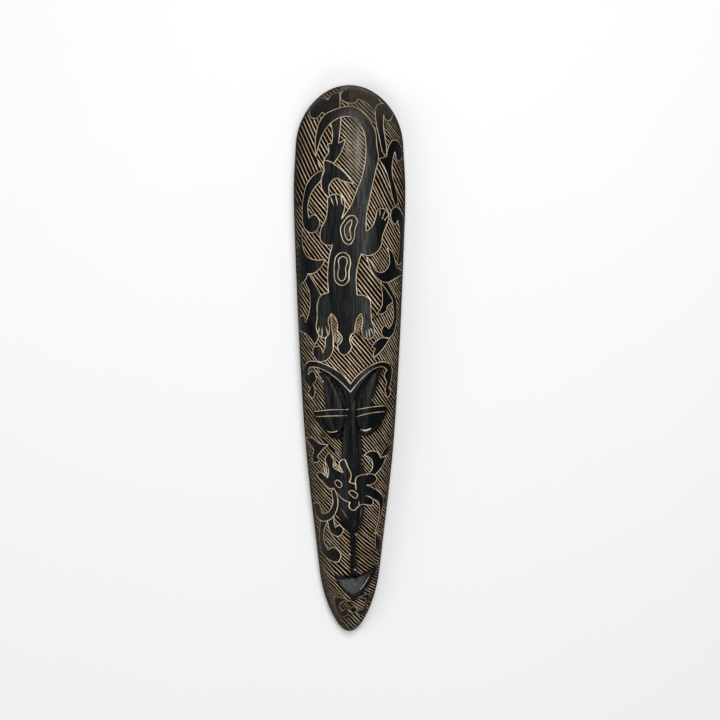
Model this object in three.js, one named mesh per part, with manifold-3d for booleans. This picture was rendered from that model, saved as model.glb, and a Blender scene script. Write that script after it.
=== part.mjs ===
// A long carved wooden face mask, lying on its flat back rim with the face up.
// Millimetres, +Z up. The top of the head points along +Y and the chin along -Y.
// The origin is the middle of the back's outline, on the plane that the rim lies on.
//
// One block of wood: a domed front that narrows to the chin, a hollow scooped out behind it,
// a nose, two heavy-lidded eyes and a mouth cut into the front, and the outlines of the carved
// figures (a large lizard, a small lizard, scrolls and leaves) run in as V-shaped gouge lines.

import * as THREE from 'three';
import { mergeVertices } from 'three/addons/utils/BufferGeometryUtils.js';
import Module from 'manifold-3d';

// Driving dimensions of the block.
const LENGTH = 750;
const WIDTH = 154;
const CROWN_HEIGHT = 58;
const RIM_WIDTH = 15;
const WALL = 19;
const TOP_CAP = 82;
const CHIN_CAP = 82;

// Driving dimensions of the face.
const SOCKET_DEPTH = 8;
const LID_RISE = 8;
const NOSE_RISE = 9;
const MOUTH_DEPTH = 7;
const PATCH_MARGIN = 6;

// The gouge line that outlines every figure. Cut by hand, the lines differ a little in depth.
const GROOVE_WIDTH = 2.4;
const GROOVE_DEPTH = 1.3;
const DEPTH_SPREAD = 0.2;
const DEPTH_SORTS = 5;
const GROOVE_LIFT = 1.8;

// The carving is drawn on squared paper laid over the front: SQUARES_LONG squares to the length
// and SQUARES_WIDE to the width. A point is [column, row]. A third number
// marks a sharp corner: 1, or 2 where the stretch up to the next corner is a line that a neighbour draws.
const SQUARES_LONG = 546;
const SQUARES_WIDE = 112;
const MIDDLE_COLUMN = 349;
const TOP_ROW = 84.5;
const SQUARE_X = WIDTH / SQUARES_WIDE;
const SQUARE_Y = LENGTH / SQUARES_LONG;

// Half the width of the block along its length, before the ends are rounded, in squares.
const HALF_WIDTHS = [
  [0, 51], [60, 53.9], [105, 56], [165, 54.4], [265, 50], [365, 43.5], [465, 32.3], [546, 22.3],
];
// Height of the crest of the dome along the length, as a share of CROWN_HEIGHT.
const CREST = [
  [0, 0.86], [60, 0.9], [140, 0.98], [225, 1], [300, 0.97], [370, 0.87], [440, 0.72], [486, 0.58],
  [546, 0.48],
];
// The section of the dome is a superellipse; this is its exponent.
const SECTION_POWER = 2.2;
// Arc length from the crest to the rim against half the width.
const UNROLL = 1.38;

// How finely the block is faceted.
const CAP_STEPS = 7;
const BODY_STEPS = 12;
const DOME_RINGS = 6;
const HOLLOW_RINGS = 3;

// The large lizard hangs head down; its tail arches over the forehead.
const LIZARD_TAIL_OUTSIDE = [
  [314.8, 156, 1], [315, 137], [318, 124], [324, 114.5], [332, 110], [344, 106.5], [354, 106.7],
  [362, 111.5], [370, 121], [375, 131], [376.6, 146], [378, 158], [375, 172], [370, 195], [366, 215],
  [365.8, 231, 1],
];
const LIZARD_RIGHT_ARM = [
  [372, 225.5], [375.3, 217], [377, 210], [381, 208], [386, 210], [388.7, 217], [386, 225.5],
  [382.5, 235], [380.5, 246], [376, 252], [369, 255.2], [361, 253.5, 1],
];
const LIZARD_RIGHT_LEG = [
  [357.8, 263], [355.7, 278], [356.8, 294.5, 1], [364, 295.3], [369.3, 299], [370.5, 308], [371, 319],
  [373.8, 328], [373.5, 335], [369, 338.6], [363.5, 336.5], [361.2, 330], [362.3, 319], [360.5, 313, 1],
  [356, 319.5], [354.3, 331.5, 1],
];
const LIZARD_HEAD = [
  [350.3, 335], [349.4, 340], [351.4, 346, 1], [349, 351], [344, 354.5], [339, 352], [337, 345, 1],
  [340.6, 341.5], [341.5, 337], [336.6, 330, 1],
];
const LIZARD_LEFT_LEG = [
  [336.8, 323], [334, 316], [330.5, 313.3, 1], [327.6, 320], [329, 328], [327.8, 334.5, 1],
  [323.5, 337.5], [318.3, 334.3], [315.6, 328], [316.6, 316], [316.8, 303], [320.5, 295],
  [328, 292.2, 1],
];
const LIZARD_LEFT_ARM = [
  [327, 276], [328.5, 258], [332, 244.5, 1], [325, 244.5], [320, 240], [320.3, 229], [325, 219],
  [327, 208], [327.7, 197], [334, 194], [341, 195.6], [344.4, 203], [341, 218.5, 1], [347, 210.5],
  [351.3, 203.5, 1],
];
const LIZARD_TAIL_INSIDE = [
  [356, 191], [362, 175], [365.5, 153], [364, 134], [357.5, 121.5], [348, 116.2], [338, 117.8],
  [328, 125], [321, 136], [316.6, 150],
];
const LIZARD = [
  ...LIZARD_TAIL_OUTSIDE, ...LIZARD_RIGHT_ARM, ...LIZARD_RIGHT_LEG, ...LIZARD_HEAD, ...LIZARD_LEFT_LEG,
  ...LIZARD_LEFT_ARM, ...LIZARD_TAIL_INSIDE,
];
const LIZARD_UPPER_RING = [
  [340, 228], [343.5, 221], [348, 216], [353.5, 215.5], [357, 220.5], [354.5, 229], [353.5, 238],
  [349, 244], [343.5, 241.5],
];
const LIZARD_LOWER_RING = [
  [334, 262], [336, 255.5], [342, 252], [348, 255], [350, 262], [348.6, 271], [347.6, 281],
  [341.5, 285], [335, 281], [333.6, 271],
];

// Leaves and scrolls of the forehead, from the top down.
const TAIL_BUD = [
  [330, 123.5, 1], [332, 134], [331, 143, 1], [327, 144, 1], [328, 152], [323.3, 160], [324, 170.5, 1],
  [320.5, 180], [321.5, 189], [327, 196.5, 2], [329, 196, 1], [328.7, 185], [335, 178], [343, 181],
  [353, 183.3, 1], [344, 172], [333, 163.5, 1], [341, 151], [345, 139, 1], [338, 143, 1], [340, 125],
  [340.5, 117.5, 2],
];
const TOP_LEFT_LEAF = [
  [339.5, 107.5, 1], [339.5, 92, 1], [332, 93.5], [327.5, 99.3, 1], [319, 97], [312, 102.5],
  [308.5, 110.7, 1], [310, 116.5], [315, 118], [321.6, 111.7, 1], [324.3, 114.3, 2], [331, 110.7],
];
const TOP_RIGHT_LEAF = [
  [347, 88, 1], [360, 89.5], [373, 95], [382, 103, 2], [374, 112.5, 1], [368.5, 104.5],
  [357.5, 98.5, 1], [355, 102.2], [348, 102.6], [341, 99.5], [339.7, 95], [342, 90.8],
];
const CANE = [
  [375, 110, 1], [377, 104.7], [383, 103], [389, 107], [392.3, 114], [390, 120, 1], [385, 119],
  [383.5, 114, 1], [383.3, 127], [386, 146], [386.5, 155, 1], [383, 153], [378.5, 135], [375.6, 121],
];
const RIGHT_TOP_LEAF = [
  [392, 140, 1], [397, 140], [401, 147], [402, 157], [398, 161], [394.6, 151, 1], [392.2, 162],
  [392.3, 176], [396.5, 191], [398, 203, 1], [395, 206, 1], [391.5, 194], [389, 181], [385, 169],
  [378.5, 158.7, 1], [386.3, 156, 1], [388, 147],
];
const RIGHT_BULB = [
  [395.5, 206, 1], [391, 210.5], [391, 219], [394.5, 224], [397.6, 219.5, 1], [399.6, 235],
  [398.5, 252], [397, 264, 1], [400.5, 263], [403, 249], [403.8, 228], [401, 211],
];
const RIGHT_CALYX = [
  [386.8, 247.5, 1], [391.5, 251], [395, 260], [396, 266.5, 1], [401.5, 270, 2], [401.5, 274.5, 1],
  [395, 278], [387, 282], [379, 279.5], [372, 272], [366, 256, 1], [371, 262], [376, 270.5],
  [383, 271.5], [388.7, 265], [389, 255],
];
const RIGHT_DROP = [
  [380, 281.5, 1], [388.5, 293], [392.2, 301], [387, 305.5, 1], [385, 311.5], [376, 314.3, 1],
  [381.3, 305.5], [382, 294],
];
const RIGHT_CANE = [
  [380, 281.5, 2], [387, 282, 1], [392, 290.5], [396.3, 301], [396.5, 318], [393.5, 332],
  [389.5, 337.5, 1], [383.5, 336.7], [381.2, 331], [384, 325], [388.5, 328, 1], [392.5, 321],
  [393, 308], [392.2, 301, 2], [388.5, 293],
];
const RIGHT_LOW_LEAF = [
  [389.5, 337.5, 1], [380, 337.7], [371, 346.3, 1], [375, 348.3, 1], [373, 353], [374, 357, 1],
  [382, 349],
];
const LEFT_SCROLL = [
  [323, 169.5, 1], [314, 174], [306.5, 183], [302.5, 198], [301.5, 216], [304, 228], [310.5, 232.6],
  [317, 229], [319, 221], [314, 214.4], [308, 217.5, 1], [307.2, 205], [311, 192], [320.3, 180.5, 1],
];
const LEFT_LEAF = [
  [301.6, 228, 1], [302, 246], [306.5, 256], [315, 259.5], [324.5, 259, 1], [321, 266], [313, 272.8],
  [307, 273.3, 1], [304.8, 279], [299.3, 284.3, 2], [297.6, 256],
];
const LEFT_STEM = [
  [308, 273.5, 1], [314.5, 284], [320.5, 295, 2], [316.8, 303], [316.6, 316], [315.6, 328, 1],
  [317.8, 336], [314, 344.3, 1], [306, 334], [298.5, 330.5, 1], [298.3, 318], [302, 314.4],
  [304.8, 322.3, 1], [309, 308], [308.7, 292], [304, 281.3, 2],
];
const BROW_SCROLL = [
  [330.5, 313.3, 2], [327.6, 320], [329, 328], [327.8, 334.5, 1], [325, 338], [324.5, 346],
  [322, 352.5, 1], [319.5, 346.3], [313.3, 346, 1], [312.3, 353], [318, 361], [326, 359.5],
  [331.7, 352], [333, 341], [331, 325],
];

// The brow: one band in a V over the nose, curled in at both ends.
const BROW_BAND = [
  [350, 383.5, 1], [341, 373.3], [330, 366.5], [318, 361.5], [308, 361], [303, 367], [303, 379],
  [309.5, 387.3, 1], [308, 393.5], [311.7, 397.5], [314.6, 391], [312.2, 383.8, 1], [315.8, 378],
  [312, 370.2], [307.4, 374.3, 1], [309, 367], [318, 367.4], [334, 376.3], [350, 391.5, 1],
  [361, 378.3], [373, 368.7], [382.5, 366.2], [387, 369.5, 1], [384, 374.5], [386.5, 381.5, 1],
  [384.8, 391], [387.3, 397], [390.5, 391], [388.7, 387.5, 1], [391.3, 377], [390.7, 364.8],
  [382, 361.2], [368, 366.5], [358, 374],
];
const LASHES = [
  [[313, 411], [330, 409.2], [346, 409]],
  [[316, 416], [332, 415.3], [346, 415]],
  [[356, 409], [370, 406.6], [385, 405]],
  [[356, 416], [370, 412.5], [384, 411]],
];

// The small lizard that lies across the nose, its tail running down the right cheek.
const SMALL_LIZARD = [
  [327, 477, 1], [328, 469], [324.4, 458.5], [328.5, 452.7], [333.4, 460, 1], [332.8, 466],
  [342.5, 472, 1], [338.8, 461.8], [343.5, 458.6], [347, 465.5], [350.6, 474], [348.7, 481.5, 1],
  [355, 483.5, 1], [355.8, 477], [361, 474.4], [373, 473.7], [376.7, 478], [373, 483], [366, 484.3, 1],
  [378, 490.5], [383.3, 498], [381.5, 511], [377, 531, 1], [374.3, 533, 1], [379, 514], [378.3, 502],
  [372.5, 498.2, 1], [372, 504.3], [361, 503.7], [353, 509.6], [348.5, 506], [349.5, 501.5, 1],
  [342, 498.3], [333, 487.3, 1], [329, 487.8], [322, 481], [316.3, 474], [318.5, 471.2],
];

// Leaves and scrolls of the cheeks and the chin.
const LEFT_CHEEK_LEAF = [
  [304, 438.5, 1], [310, 436.7], [319, 442.7], [327.5, 444, 1], [321.5, 449.5], [316.3, 456, 1],
  [318.5, 460], [313.5, 462], [311.3, 457], [313, 449],
];
const RIGHT_CHEEK_CRESCENT = [
  [363.5, 454.7, 1], [370, 450.4], [377, 451.5], [380.3, 457.3, 1], [386, 455, 1], [382, 465.5],
  [374.5, 474.5, 2], [366.3, 474.3, 1], [372, 467.5], [371, 458.5],
];
const RIGHT_CHEEK_LEAF = [[380.3, 456.7, 1], [384, 449.5], [391, 443, 1], [389, 450], [385.5, 455, 2]];
const LEFT_HOOK = [
  [333.3, 487.5, 1], [337.3, 499], [335.5, 511], [329.5, 518.8], [321, 520.3], [315, 513.5],
  [312.5, 502.8, 1], [317.5, 502.3], [321.2, 512.3, 1], [327, 511.7], [332.3, 502], [331, 490.3],
];
const LOWER_HOOK = [
  [327, 520.3, 2], [333.4, 515, 1], [333.4, 521], [334.8, 526.8, 1], [339, 524.5], [343, 529.5],
  [338, 535.6], [330.5, 532.3],
];
const LEFT_JAW_SCROLL = [
  [319.7, 520, 2], [326.8, 520.7, 1], [323, 531], [323.5, 541], [327.5, 549.3, 1], [333, 546.6],
  [340.3, 554], [337, 561.2], [329, 559.3], [320.3, 551.3, 1], [318.8, 536],
];
const CHIN_LEFT_SCROLL = [
  [333, 596.5, 1], [341, 597.3], [350, 600.5, 1], [340.5, 601.5], [338.5, 606], [341.5, 610.5, 1],
  [345.5, 608.3], [348, 612.5], [343, 616], [336.5, 610.5],
];
const CHIN_RIGHT_SCROLL = [
  [358.5, 596.5, 1], [369.5, 592.5, 1], [367, 603], [363.5, 612.5], [359.5, 614.6], [356.7, 611],
  [363, 609.3, 1], [365.5, 602], [365.5, 598, 1],
];

const FIGURES = [
  LIZARD, LIZARD_UPPER_RING, LIZARD_LOWER_RING, TAIL_BUD, TOP_LEFT_LEAF, TOP_RIGHT_LEAF, CANE,
  RIGHT_TOP_LEAF, RIGHT_BULB, RIGHT_CALYX, RIGHT_DROP, RIGHT_CANE, RIGHT_LOW_LEAF,
  LEFT_SCROLL, LEFT_LEAF, LEFT_STEM, BROW_SCROLL, BROW_BAND,
  SMALL_LIZARD, LEFT_CHEEK_LEAF, RIGHT_CHEEK_CRESCENT, RIGHT_CHEEK_LEAF, LEFT_HOOK, LOWER_HOOK,
  LEFT_JAW_SCROLL, CHIN_LEFT_SCROLL, CHIN_RIGHT_SCROLL,
];

// The eyes, drawn as leaves from a tip under the brow to a round end, and the nose and mouth.
const EYES = [
  { tip: [319, 369], end: [337, 432], half: 14.5 },
  { tip: [381, 367], end: [363, 430], half: 14.5 },
];
const SOCKET_SPREAD = 4.5;
const NOSE = { top: [349.5, 396], tip: [351.5, 531], halfTop: 4, halfTip: 14, fullAt: 0.86 };
const MOUTH = { left: [335, 576.5], right: [376.5, 566], dip: 5, sag: 23 };

const clamp = (value, low, high) => Math.min(Math.max(value, low), high);

// A smooth curve through [at, value] stations.
function between(stations, at) {
  const slope = (i, j) => (stations[j][1] - stations[i][1]) / (stations[j][0] - stations[i][0]);
  const last = stations.length - 1;
  let i = 0;
  while (i < last - 1 && stations[i + 1][0] < at) i += 1;
  const span = stations[i + 1][0] - stations[i][0];
  const t = clamp((at - stations[i][0]) / span, 0, 1);
  const startSlope = slope(Math.max(i - 1, 0), i + 1) * span;
  const endSlope = slope(i, Math.min(i + 2, last)) * span;
  const rise = stations[i + 1][1] - stations[i][1];
  const bend = startSlope + endSlope - 2 * rise;
  return stations[i][1] + t * (startSlope + t * (rise - startSlope - bend + t * bend));
}

// The plan of the block: x to the right, down measured from the top of the head, both in mm.
const roundEnd = (share) => (share >= 1 ? 1 : Math.sqrt(Math.max(0, 1 - (1 - share) ** 2)));

function halfWidthAt(down) {
  const straight = between(HALF_WIDTHS, down / SQUARE_Y) * SQUARE_X;
  return straight * roundEnd(down / TOP_CAP) * roundEnd((LENGTH - down) / CHIN_CAP);
}

const crestAt = (down) => between(CREST, down / SQUARE_Y) * CROWN_HEIGHT;
const spineAt = (down) => clamp(down, TOP_CAP, LENGTH - CHIN_CAP);
const drawn = ([column, row]) => [(column - MIDDLE_COLUMN) * SQUARE_X, (row - TOP_ROW) * SQUARE_Y];

// Distance of the outline from the spine, along the line from the spine through a point of the plan.
function reachToward(x, down) {
  const spine = spineAt(down);
  if (down === spine) return halfWidthAt(down);
  const cap = down < spine ? TOP_CAP : CHIN_CAP;
  const wanted = Math.atan2(Math.abs(x), Math.abs(down - spine));
  let low = 0;
  let high = Math.PI / 2;
  let reach = 0;
  for (let step = 0; step < 40; step += 1) {
    const middle = (low + high) / 2;
    const away = cap * Math.cos(middle);
    const half = halfWidthAt(spine + Math.sign(down - spine) * away);
    reach = Math.hypot(half, away);
    if (Math.atan2(half, away) < wanted) low = middle;
    else high = middle;
  }
  return reach;
}

const heightShare = (share) => (1 - Math.min(share, 1) ** SECTION_POWER) ** (1 / SECTION_POWER);

function domeHeight(x, down) {
  const spine = spineAt(down);
  return crestAt(spine) * heightShare(Math.hypot(x, down - spine) / reachToward(x, down));
}

// A leaf runs from its tip to its round end; along is 0 to 1, across is -1 to 1 over its width.
const LEAF_TIP_POWER = 0.8;
const LEAF_END_POWER = 0.5;
const LEAF_WIDEST = LEAF_TIP_POWER / (LEAF_TIP_POWER + LEAF_END_POWER);
const leafPower = (along) => along ** LEAF_TIP_POWER * (1 - along) ** LEAF_END_POWER;
const leafShape = (along) => leafPower(clamp(along, 0, 1)) / leafPower(LEAF_WIDEST);
const NOTHING = 1e-6;

function leafFrame(leaf) {
  const tip = drawn(leaf.tip);
  const end = drawn(leaf.end);
  const length = Math.hypot(end[0] - tip[0], end[1] - tip[1]);
  const axis = [(end[0] - tip[0]) / length, (end[1] - tip[1]) / length];
  return { tip, length, axis, half: leaf.half * SQUARE_X };
}

function leafPlan(leaf, along, across) {
  const { tip, length, axis, half } = leafFrame(leaf);
  const side = across * half * leafShape(along);
  const ahead = length * along;
  return [tip[0] + axis[0] * ahead + axis[1] * side, tip[1] + axis[1] * ahead - axis[0] * side];
}

function leafPlace(leaf, x, down) {
  const { tip, length, axis, half } = leafFrame(leaf);
  const along = ((x - tip[0]) * axis[0] + (down - tip[1]) * axis[1]) / length;
  const side = (x - tip[0]) * axis[1] - (down - tip[1]) * axis[0];
  return [along, side / Math.max(half * leafShape(along), NOTHING)];
}

const bulge = (across) => Math.sqrt(Math.max(0, 1 - across ** 2));

// The hollow around each eye follows the eye's leaf, wider and shifted towards the nose and the cheek.
function socketOf(eye) {
  const inward = Math.sign(MIDDLE_COLUMN - eye.tip[0]) * SOCKET_SPREAD / 2;
  const tip = [eye.tip[0] + inward, eye.tip[1] - SOCKET_SPREAD / 2];
  const end = [eye.end[0] + inward, eye.end[1] + SOCKET_SPREAD];
  return { tip, end, half: eye.half + SOCKET_SPREAD / 2 };
}

const socketLevel = (along, across) => -SOCKET_DEPTH * Math.sqrt(leafShape(along)) * bulge(across);
const lidLevel = (along, across) => leafShape(along) * (LID_RISE * bulge(across) - SOCKET_DEPTH);

// The nose widens from the bridge to the wings and is rounded off at the tip.
const noseGrown = (along) => Math.min(along / NOSE.fullAt, 1);
const noseRounded = (along) => roundEnd((1 - along) / (1 - NOSE.fullAt));

function noseHalf(along) {
  const spread = NOSE.halfTop + (NOSE.halfTip - NOSE.halfTop) * noseGrown(along);
  return spread * SQUARE_X * noseRounded(along);
}

const noseLevel = (along, across) => NOSE_RISE * noseGrown(along) * noseRounded(along) * (1 - across ** 2);

function nosePlan(along, across) {
  const top = drawn(NOSE.top);
  const tip = drawn(NOSE.tip);
  const middle = top[0] + (tip[0] - top[0]) * along;
  return [middle + across * noseHalf(along), top[1] + (tip[1] - top[1]) * along];
}

function nosePlace(x, down) {
  const top = drawn(NOSE.top);
  const tip = drawn(NOSE.tip);
  const along = (down - top[1]) / (tip[1] - top[1]);
  const middle = top[0] + (tip[0] - top[0]) * along;
  return [along, (x - middle) / Math.max(noseHalf(along), NOTHING)];
}

// The mouth is one slanting cut: level with the lower lip's crest and deepest under the upper lip.
const lipSag = (across, power) => 1 - Math.abs(2 * across - 1) ** power;
const UPPER_LIP_POWER = 1.3;
const LOWER_LIP_POWER = 1.8;

function mouthEdge(across) {
  const left = drawn(MOUTH.left);
  const right = drawn(MOUTH.right);
  const chord = left[1] + (right[1] - left[1]) * across;
  const upper = chord + MOUTH.dip * SQUARE_Y * lipSag(across, UPPER_LIP_POWER);
  const lower = chord + MOUTH.sag * SQUARE_Y * lipSag(across, LOWER_LIP_POWER);
  return { x: left[0] + (right[0] - left[0]) * across, upper, lower };
}

const mouthLevel = (across, toUpper) => -MOUTH_DEPTH * toUpper * Math.sqrt(lipSag(across, 2));

function mouthPlan(across, toUpper) {
  const edge = mouthEdge(across);
  return [edge.x, edge.lower + (edge.upper - edge.lower) * toUpper];
}

function mouthPlace(x, down) {
  const left = drawn(MOUTH.left)[0];
  const right = drawn(MOUTH.right)[0];
  const across = (x - left) / (right - left);
  const edge = mouthEdge(clamp(across, 0, 1));
  return [across, (edge.lower - down) / Math.max(edge.lower - edge.upper, NOTHING)];
}

// The carved face against the plain dome, at a point of the plan.
const inside = ([along, across], low) => along > 0 && along < 1 && across > low && across < 1;

function relief(x, down) {
  let level = 0;
  for (const eye of EYES) {
    const socket = leafPlace(socketOf(eye), x, down);
    const lid = leafPlace(eye, x, down);
    if (inside(socket, -1)) level = Math.min(level, socketLevel(...socket));
    if (inside(lid, -1)) level = Math.max(level, lidLevel(...lid));
  }
  const nose = nosePlace(x, down);
  if (inside(nose, -1)) level = Math.max(level, noseLevel(...nose));
  const mouth = mouthPlace(x, down);
  if (inside(mouth, 0)) level = Math.min(level, mouthLevel(...mouth));
  return level;
}

const toSpace = (x, down, z) => new THREE.Vector3(x, LENGTH / 2 - down, z);

// The front laid out flat: the same lines from the spine, as long as the arc over the dome.
const arcShare = (share) => Math.asin(Math.min(share, 1) ** (SECTION_POWER / 2)) / (Math.PI / 2);
const arcBack = (arc) => Math.sin(Math.min(arc, 1) * Math.PI / 2) ** (2 / SECTION_POWER);

function unroll([x, down]) {
  const spine = spineAt(down);
  const share = Math.max(Math.hypot(x, down - spine) / reachToward(x, down), NOTHING);
  const stretch = UNROLL * arcShare(share) / share;
  return [x * stretch, spine + (down - spine) * stretch];
}

// Back from the flat to the front, on the facets between the rings of the dome.
function frontPoint([flatX, flatDown]) {
  const spine = spineAt(flatDown);
  const whole = UNROLL * reachToward(flatX, flatDown);
  const arc = Math.max(Math.hypot(flatX, flatDown - spine) / whole, NOTHING);
  const ring = Math.min(Math.floor(arc * DOME_RINGS), DOME_RINGS - 1);
  const [near, far] = [arcBack(ring / DOME_RINGS), arcBack((ring + 1) / DOME_RINGS)];
  const t = arc * DOME_RINGS - ring;
  const shrink = (near + (far - near) * t) / (UNROLL * arc);
  const x = flatX * shrink;
  const down = spine + (flatDown - spine) * shrink;
  const z = crestAt(spine) * (heightShare(near) * (1 - t) + heightShare(far) * t);
  return toSpace(x, down, z + relief(x, down));
}

// Meshes: a list of triangles becomes an indexed geometry with shared corners.
const MERGE_DISTANCE = 1e-4;

class Skin {
  constructor() {
    this.corners = [];
  }

  quad(a, b, c, d) {
    for (const corner of [a, b, c, a, c, d]) this.corners.push(corner.x, corner.y, corner.z);
  }

  geometry() {
    const loose = new THREE.BufferGeometry();
    loose.setAttribute('position', new THREE.Float32BufferAttribute(this.corners, 3));
    const merged = mergeVertices(loose, MERGE_DISTANCE);
    const index = merged.index.array;
    const kept = [];
    for (let i = 0; i < index.length; i += 3) {
      const [a, b, c] = [index[i], index[i + 1], index[i + 2]];
      if (a !== b && b !== c && c !== a) kept.push(a, b, c);
    }
    merged.setIndex(kept);
    return merged;
  }
}

// The outline, clockwise from the top of the head as seen from the front.
function outlineStations() {
  const rows = [];
  const turn = (i) => (Math.PI / 2) * (i / CAP_STEPS);
  const straight = LENGTH - TOP_CAP - CHIN_CAP;
  for (let i = 0; i < CAP_STEPS; i += 1) rows.push(TOP_CAP * (1 - Math.cos(turn(i))));
  for (let i = 0; i <= BODY_STEPS; i += 1) rows.push(TOP_CAP + straight * (i / BODY_STEPS));
  for (let i = 1; i <= CAP_STEPS; i += 1) rows.push(LENGTH - CHIN_CAP * (1 - Math.sin(turn(i))));
  const right = rows.map((down) => ({ down, side: 1 }));
  const left = rows.slice(1, -1).reverse().map((down) => ({ down, side: -1 }));
  return [...right, ...left];
}

// A point of a dome of the outline's plan, set in from the edge, at an arc from the spine to its foot.
function domePoint(station, arc, inset, sunk) {
  const spine = spineAt(station.down);
  const edge = [station.side * halfWidthAt(station.down), station.down - spine];
  const length = Math.hypot(edge[0], edge[1]);
  const share = arcBack(arc) * (length - inset) / length;
  const z = (crestAt(spine) - sunk) * heightShare(arcBack(arc));
  return toSpace(edge[0] * share, spine + edge[1] * share, z);
}

function blockGeometry() {
  const stations = outlineStations();
  const skin = new Skin();
  const front = (station, arc) => domePoint(station, arc, 0, 0);
  const back = (station, arc) => domePoint(station, arc, RIM_WIDTH, WALL);
  stations.forEach((station, i) => {
    const next = stations[(i + 1) % stations.length];
    for (let ring = 0; ring < DOME_RINGS; ring += 1) {
      const [near, far] = [ring / DOME_RINGS, (ring + 1) / DOME_RINGS];
      skin.quad(front(station, near), front(next, near), front(next, far), front(station, far));
    }
    for (let ring = 0; ring < HOLLOW_RINGS; ring += 1) {
      const [near, far] = [ring / HOLLOW_RINGS, (ring + 1) / HOLLOW_RINGS];
      skin.quad(back(station, far), back(next, far), back(next, near), back(station, near));
    }
    skin.quad(front(station, 1), front(next, 1), back(next, 1), back(station, 1));
  });
  return skin.geometry();
}

// A closed block over part of the dome: plan(s, t) in [x, down], with its foot and head over the dome.
function patchGeometry(plan, foot, head, stepsAlong, stepsAcross, lowAcross) {
  const at = (i, j, level) => {
    const s = i / stepsAlong;
    const t = lowAcross + (1 - lowAcross) * (j / stepsAcross);
    const [x, down] = plan(s, t);
    return toSpace(x, down, domeHeight(x, down) + level(s, t));
  };
  const skin = new Skin();
  for (let i = 0; i < stepsAlong; i += 1) {
    for (let j = 0; j < stepsAcross; j += 1) {
      skin.quad(at(i, j, head), at(i + 1, j, head), at(i + 1, j + 1, head), at(i, j + 1, head));
      skin.quad(at(i, j, foot), at(i, j + 1, foot), at(i + 1, j + 1, foot), at(i + 1, j, foot));
    }
    const last = stepsAcross;
    skin.quad(at(i, 0, foot), at(i + 1, 0, foot), at(i + 1, 0, head), at(i, 0, head));
    skin.quad(at(i, last, foot), at(i, last, head), at(i + 1, last, head), at(i + 1, last, foot));
  }
  const end = stepsAlong;
  for (let j = 0; j < stepsAcross; j += 1) {
    skin.quad(at(0, j, foot), at(0, j, head), at(0, j + 1, head), at(0, j + 1, foot));
    skin.quad(at(end, j, foot), at(end, j + 1, foot), at(end, j + 1, head), at(end, j, head));
  }
  return skin.geometry();
}

// A smooth line through drawn points: corners stay sharp, and each span is cut as finely as it turns.
const TURN_STEP = THREE.MathUtils.degToRad(20);
const STEP_ACROSS = 12;
const STEP_DOWN = 40;
const LINE_TOLERANCE = 1;

function spanTangents(points, i, closed) {
  const count = points.length;
  const at = (k) => (closed ? points[(k + count) % count] : points[clamp(k, 0, count - 1)]);
  const [p0, p1, p2, p3] = [at(i - 1), at(i), at(i + 1), at(i + 2)];
  const gap = (a, b) => Math.max(Math.hypot(b[0] - a[0], b[1] - a[1]), NOTHING);
  const through = (a, b, c) => {
    const [before, after] = [Math.sqrt(gap(a, b)), Math.sqrt(gap(b, c))];
    const scale = Math.sqrt(gap(p1, p2));
    return [0, 1].map((k) => (
      ((b[k] - a[k]) / before - (c[k] - a[k]) / (before + after) + (c[k] - b[k]) / after) * scale
    ));
  };
  const chord = [p2[0] - p1[0], p2[1] - p1[1]];
  const startSharp = p1[2] || (!closed && i === 0);
  const endSharp = p2[2] || (!closed && i + 1 === count - 1);
  let start = startSharp ? null : through(p0, p1, p2);
  let end = endSharp ? null : through(p1, p2, p3);
  const mirror = (other) => chord.map((value, k) => 1.5 * value - 0.5 * other[k]);
  if (!start && !end) return [chord, chord];
  if (!start) start = mirror(end);
  if (!end) end = mirror(start);
  return [start, end];
}

function spanPoints(p1, p2, [start, end]) {
  const cross = start[0] * end[1] - start[1] * end[0];
  const turn = Math.abs(Math.atan2(cross, start[0] * end[0] + start[1] * end[1]));
  const steps = Math.ceil(Math.max(turn / TURN_STEP, 1));
  const points = [];
  for (let j = 0; j < steps; j += 1) {
    const t = j / steps;
    points.push([0, 1].map((k) => {
      const rise = p2[k] - p1[k];
      const bend = start[k] + end[k] - 2 * rise;
      return p1[k] + t * (start[k] + t * (rise - start[k] - bend + t * bend));
    }));
  }
  return points;
}

// Drops the points that stray less than a tolerance from the line without them.
function thinned(points) {
  const [first, last] = [points[0], points[points.length - 1]];
  const [run, fall] = [last[0] - first[0], last[1] - first[1]];
  const length = Math.hypot(run, fall);
  let worst = 0;
  let far = 0;
  points.forEach((point, i) => {
    const [x, y] = [point[0] - first[0], point[1] - first[1]];
    const off = length > NOTHING ? Math.abs(x * fall - y * run) / length : Math.hypot(x, y);
    if (off > worst) [worst, far] = [off, i];
  });
  const short = Math.abs(run) < STEP_ACROSS && Math.abs(fall) < STEP_DOWN;
  if (worst < LINE_TOLERANCE && (short || points.length < 3)) return [first, last];
  if (worst < LINE_TOLERANCE) far = Math.floor(points.length / 2);
  return [...thinned(points.slice(0, far + 1)).slice(0, -1), ...thinned(points.slice(far))];
}

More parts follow.
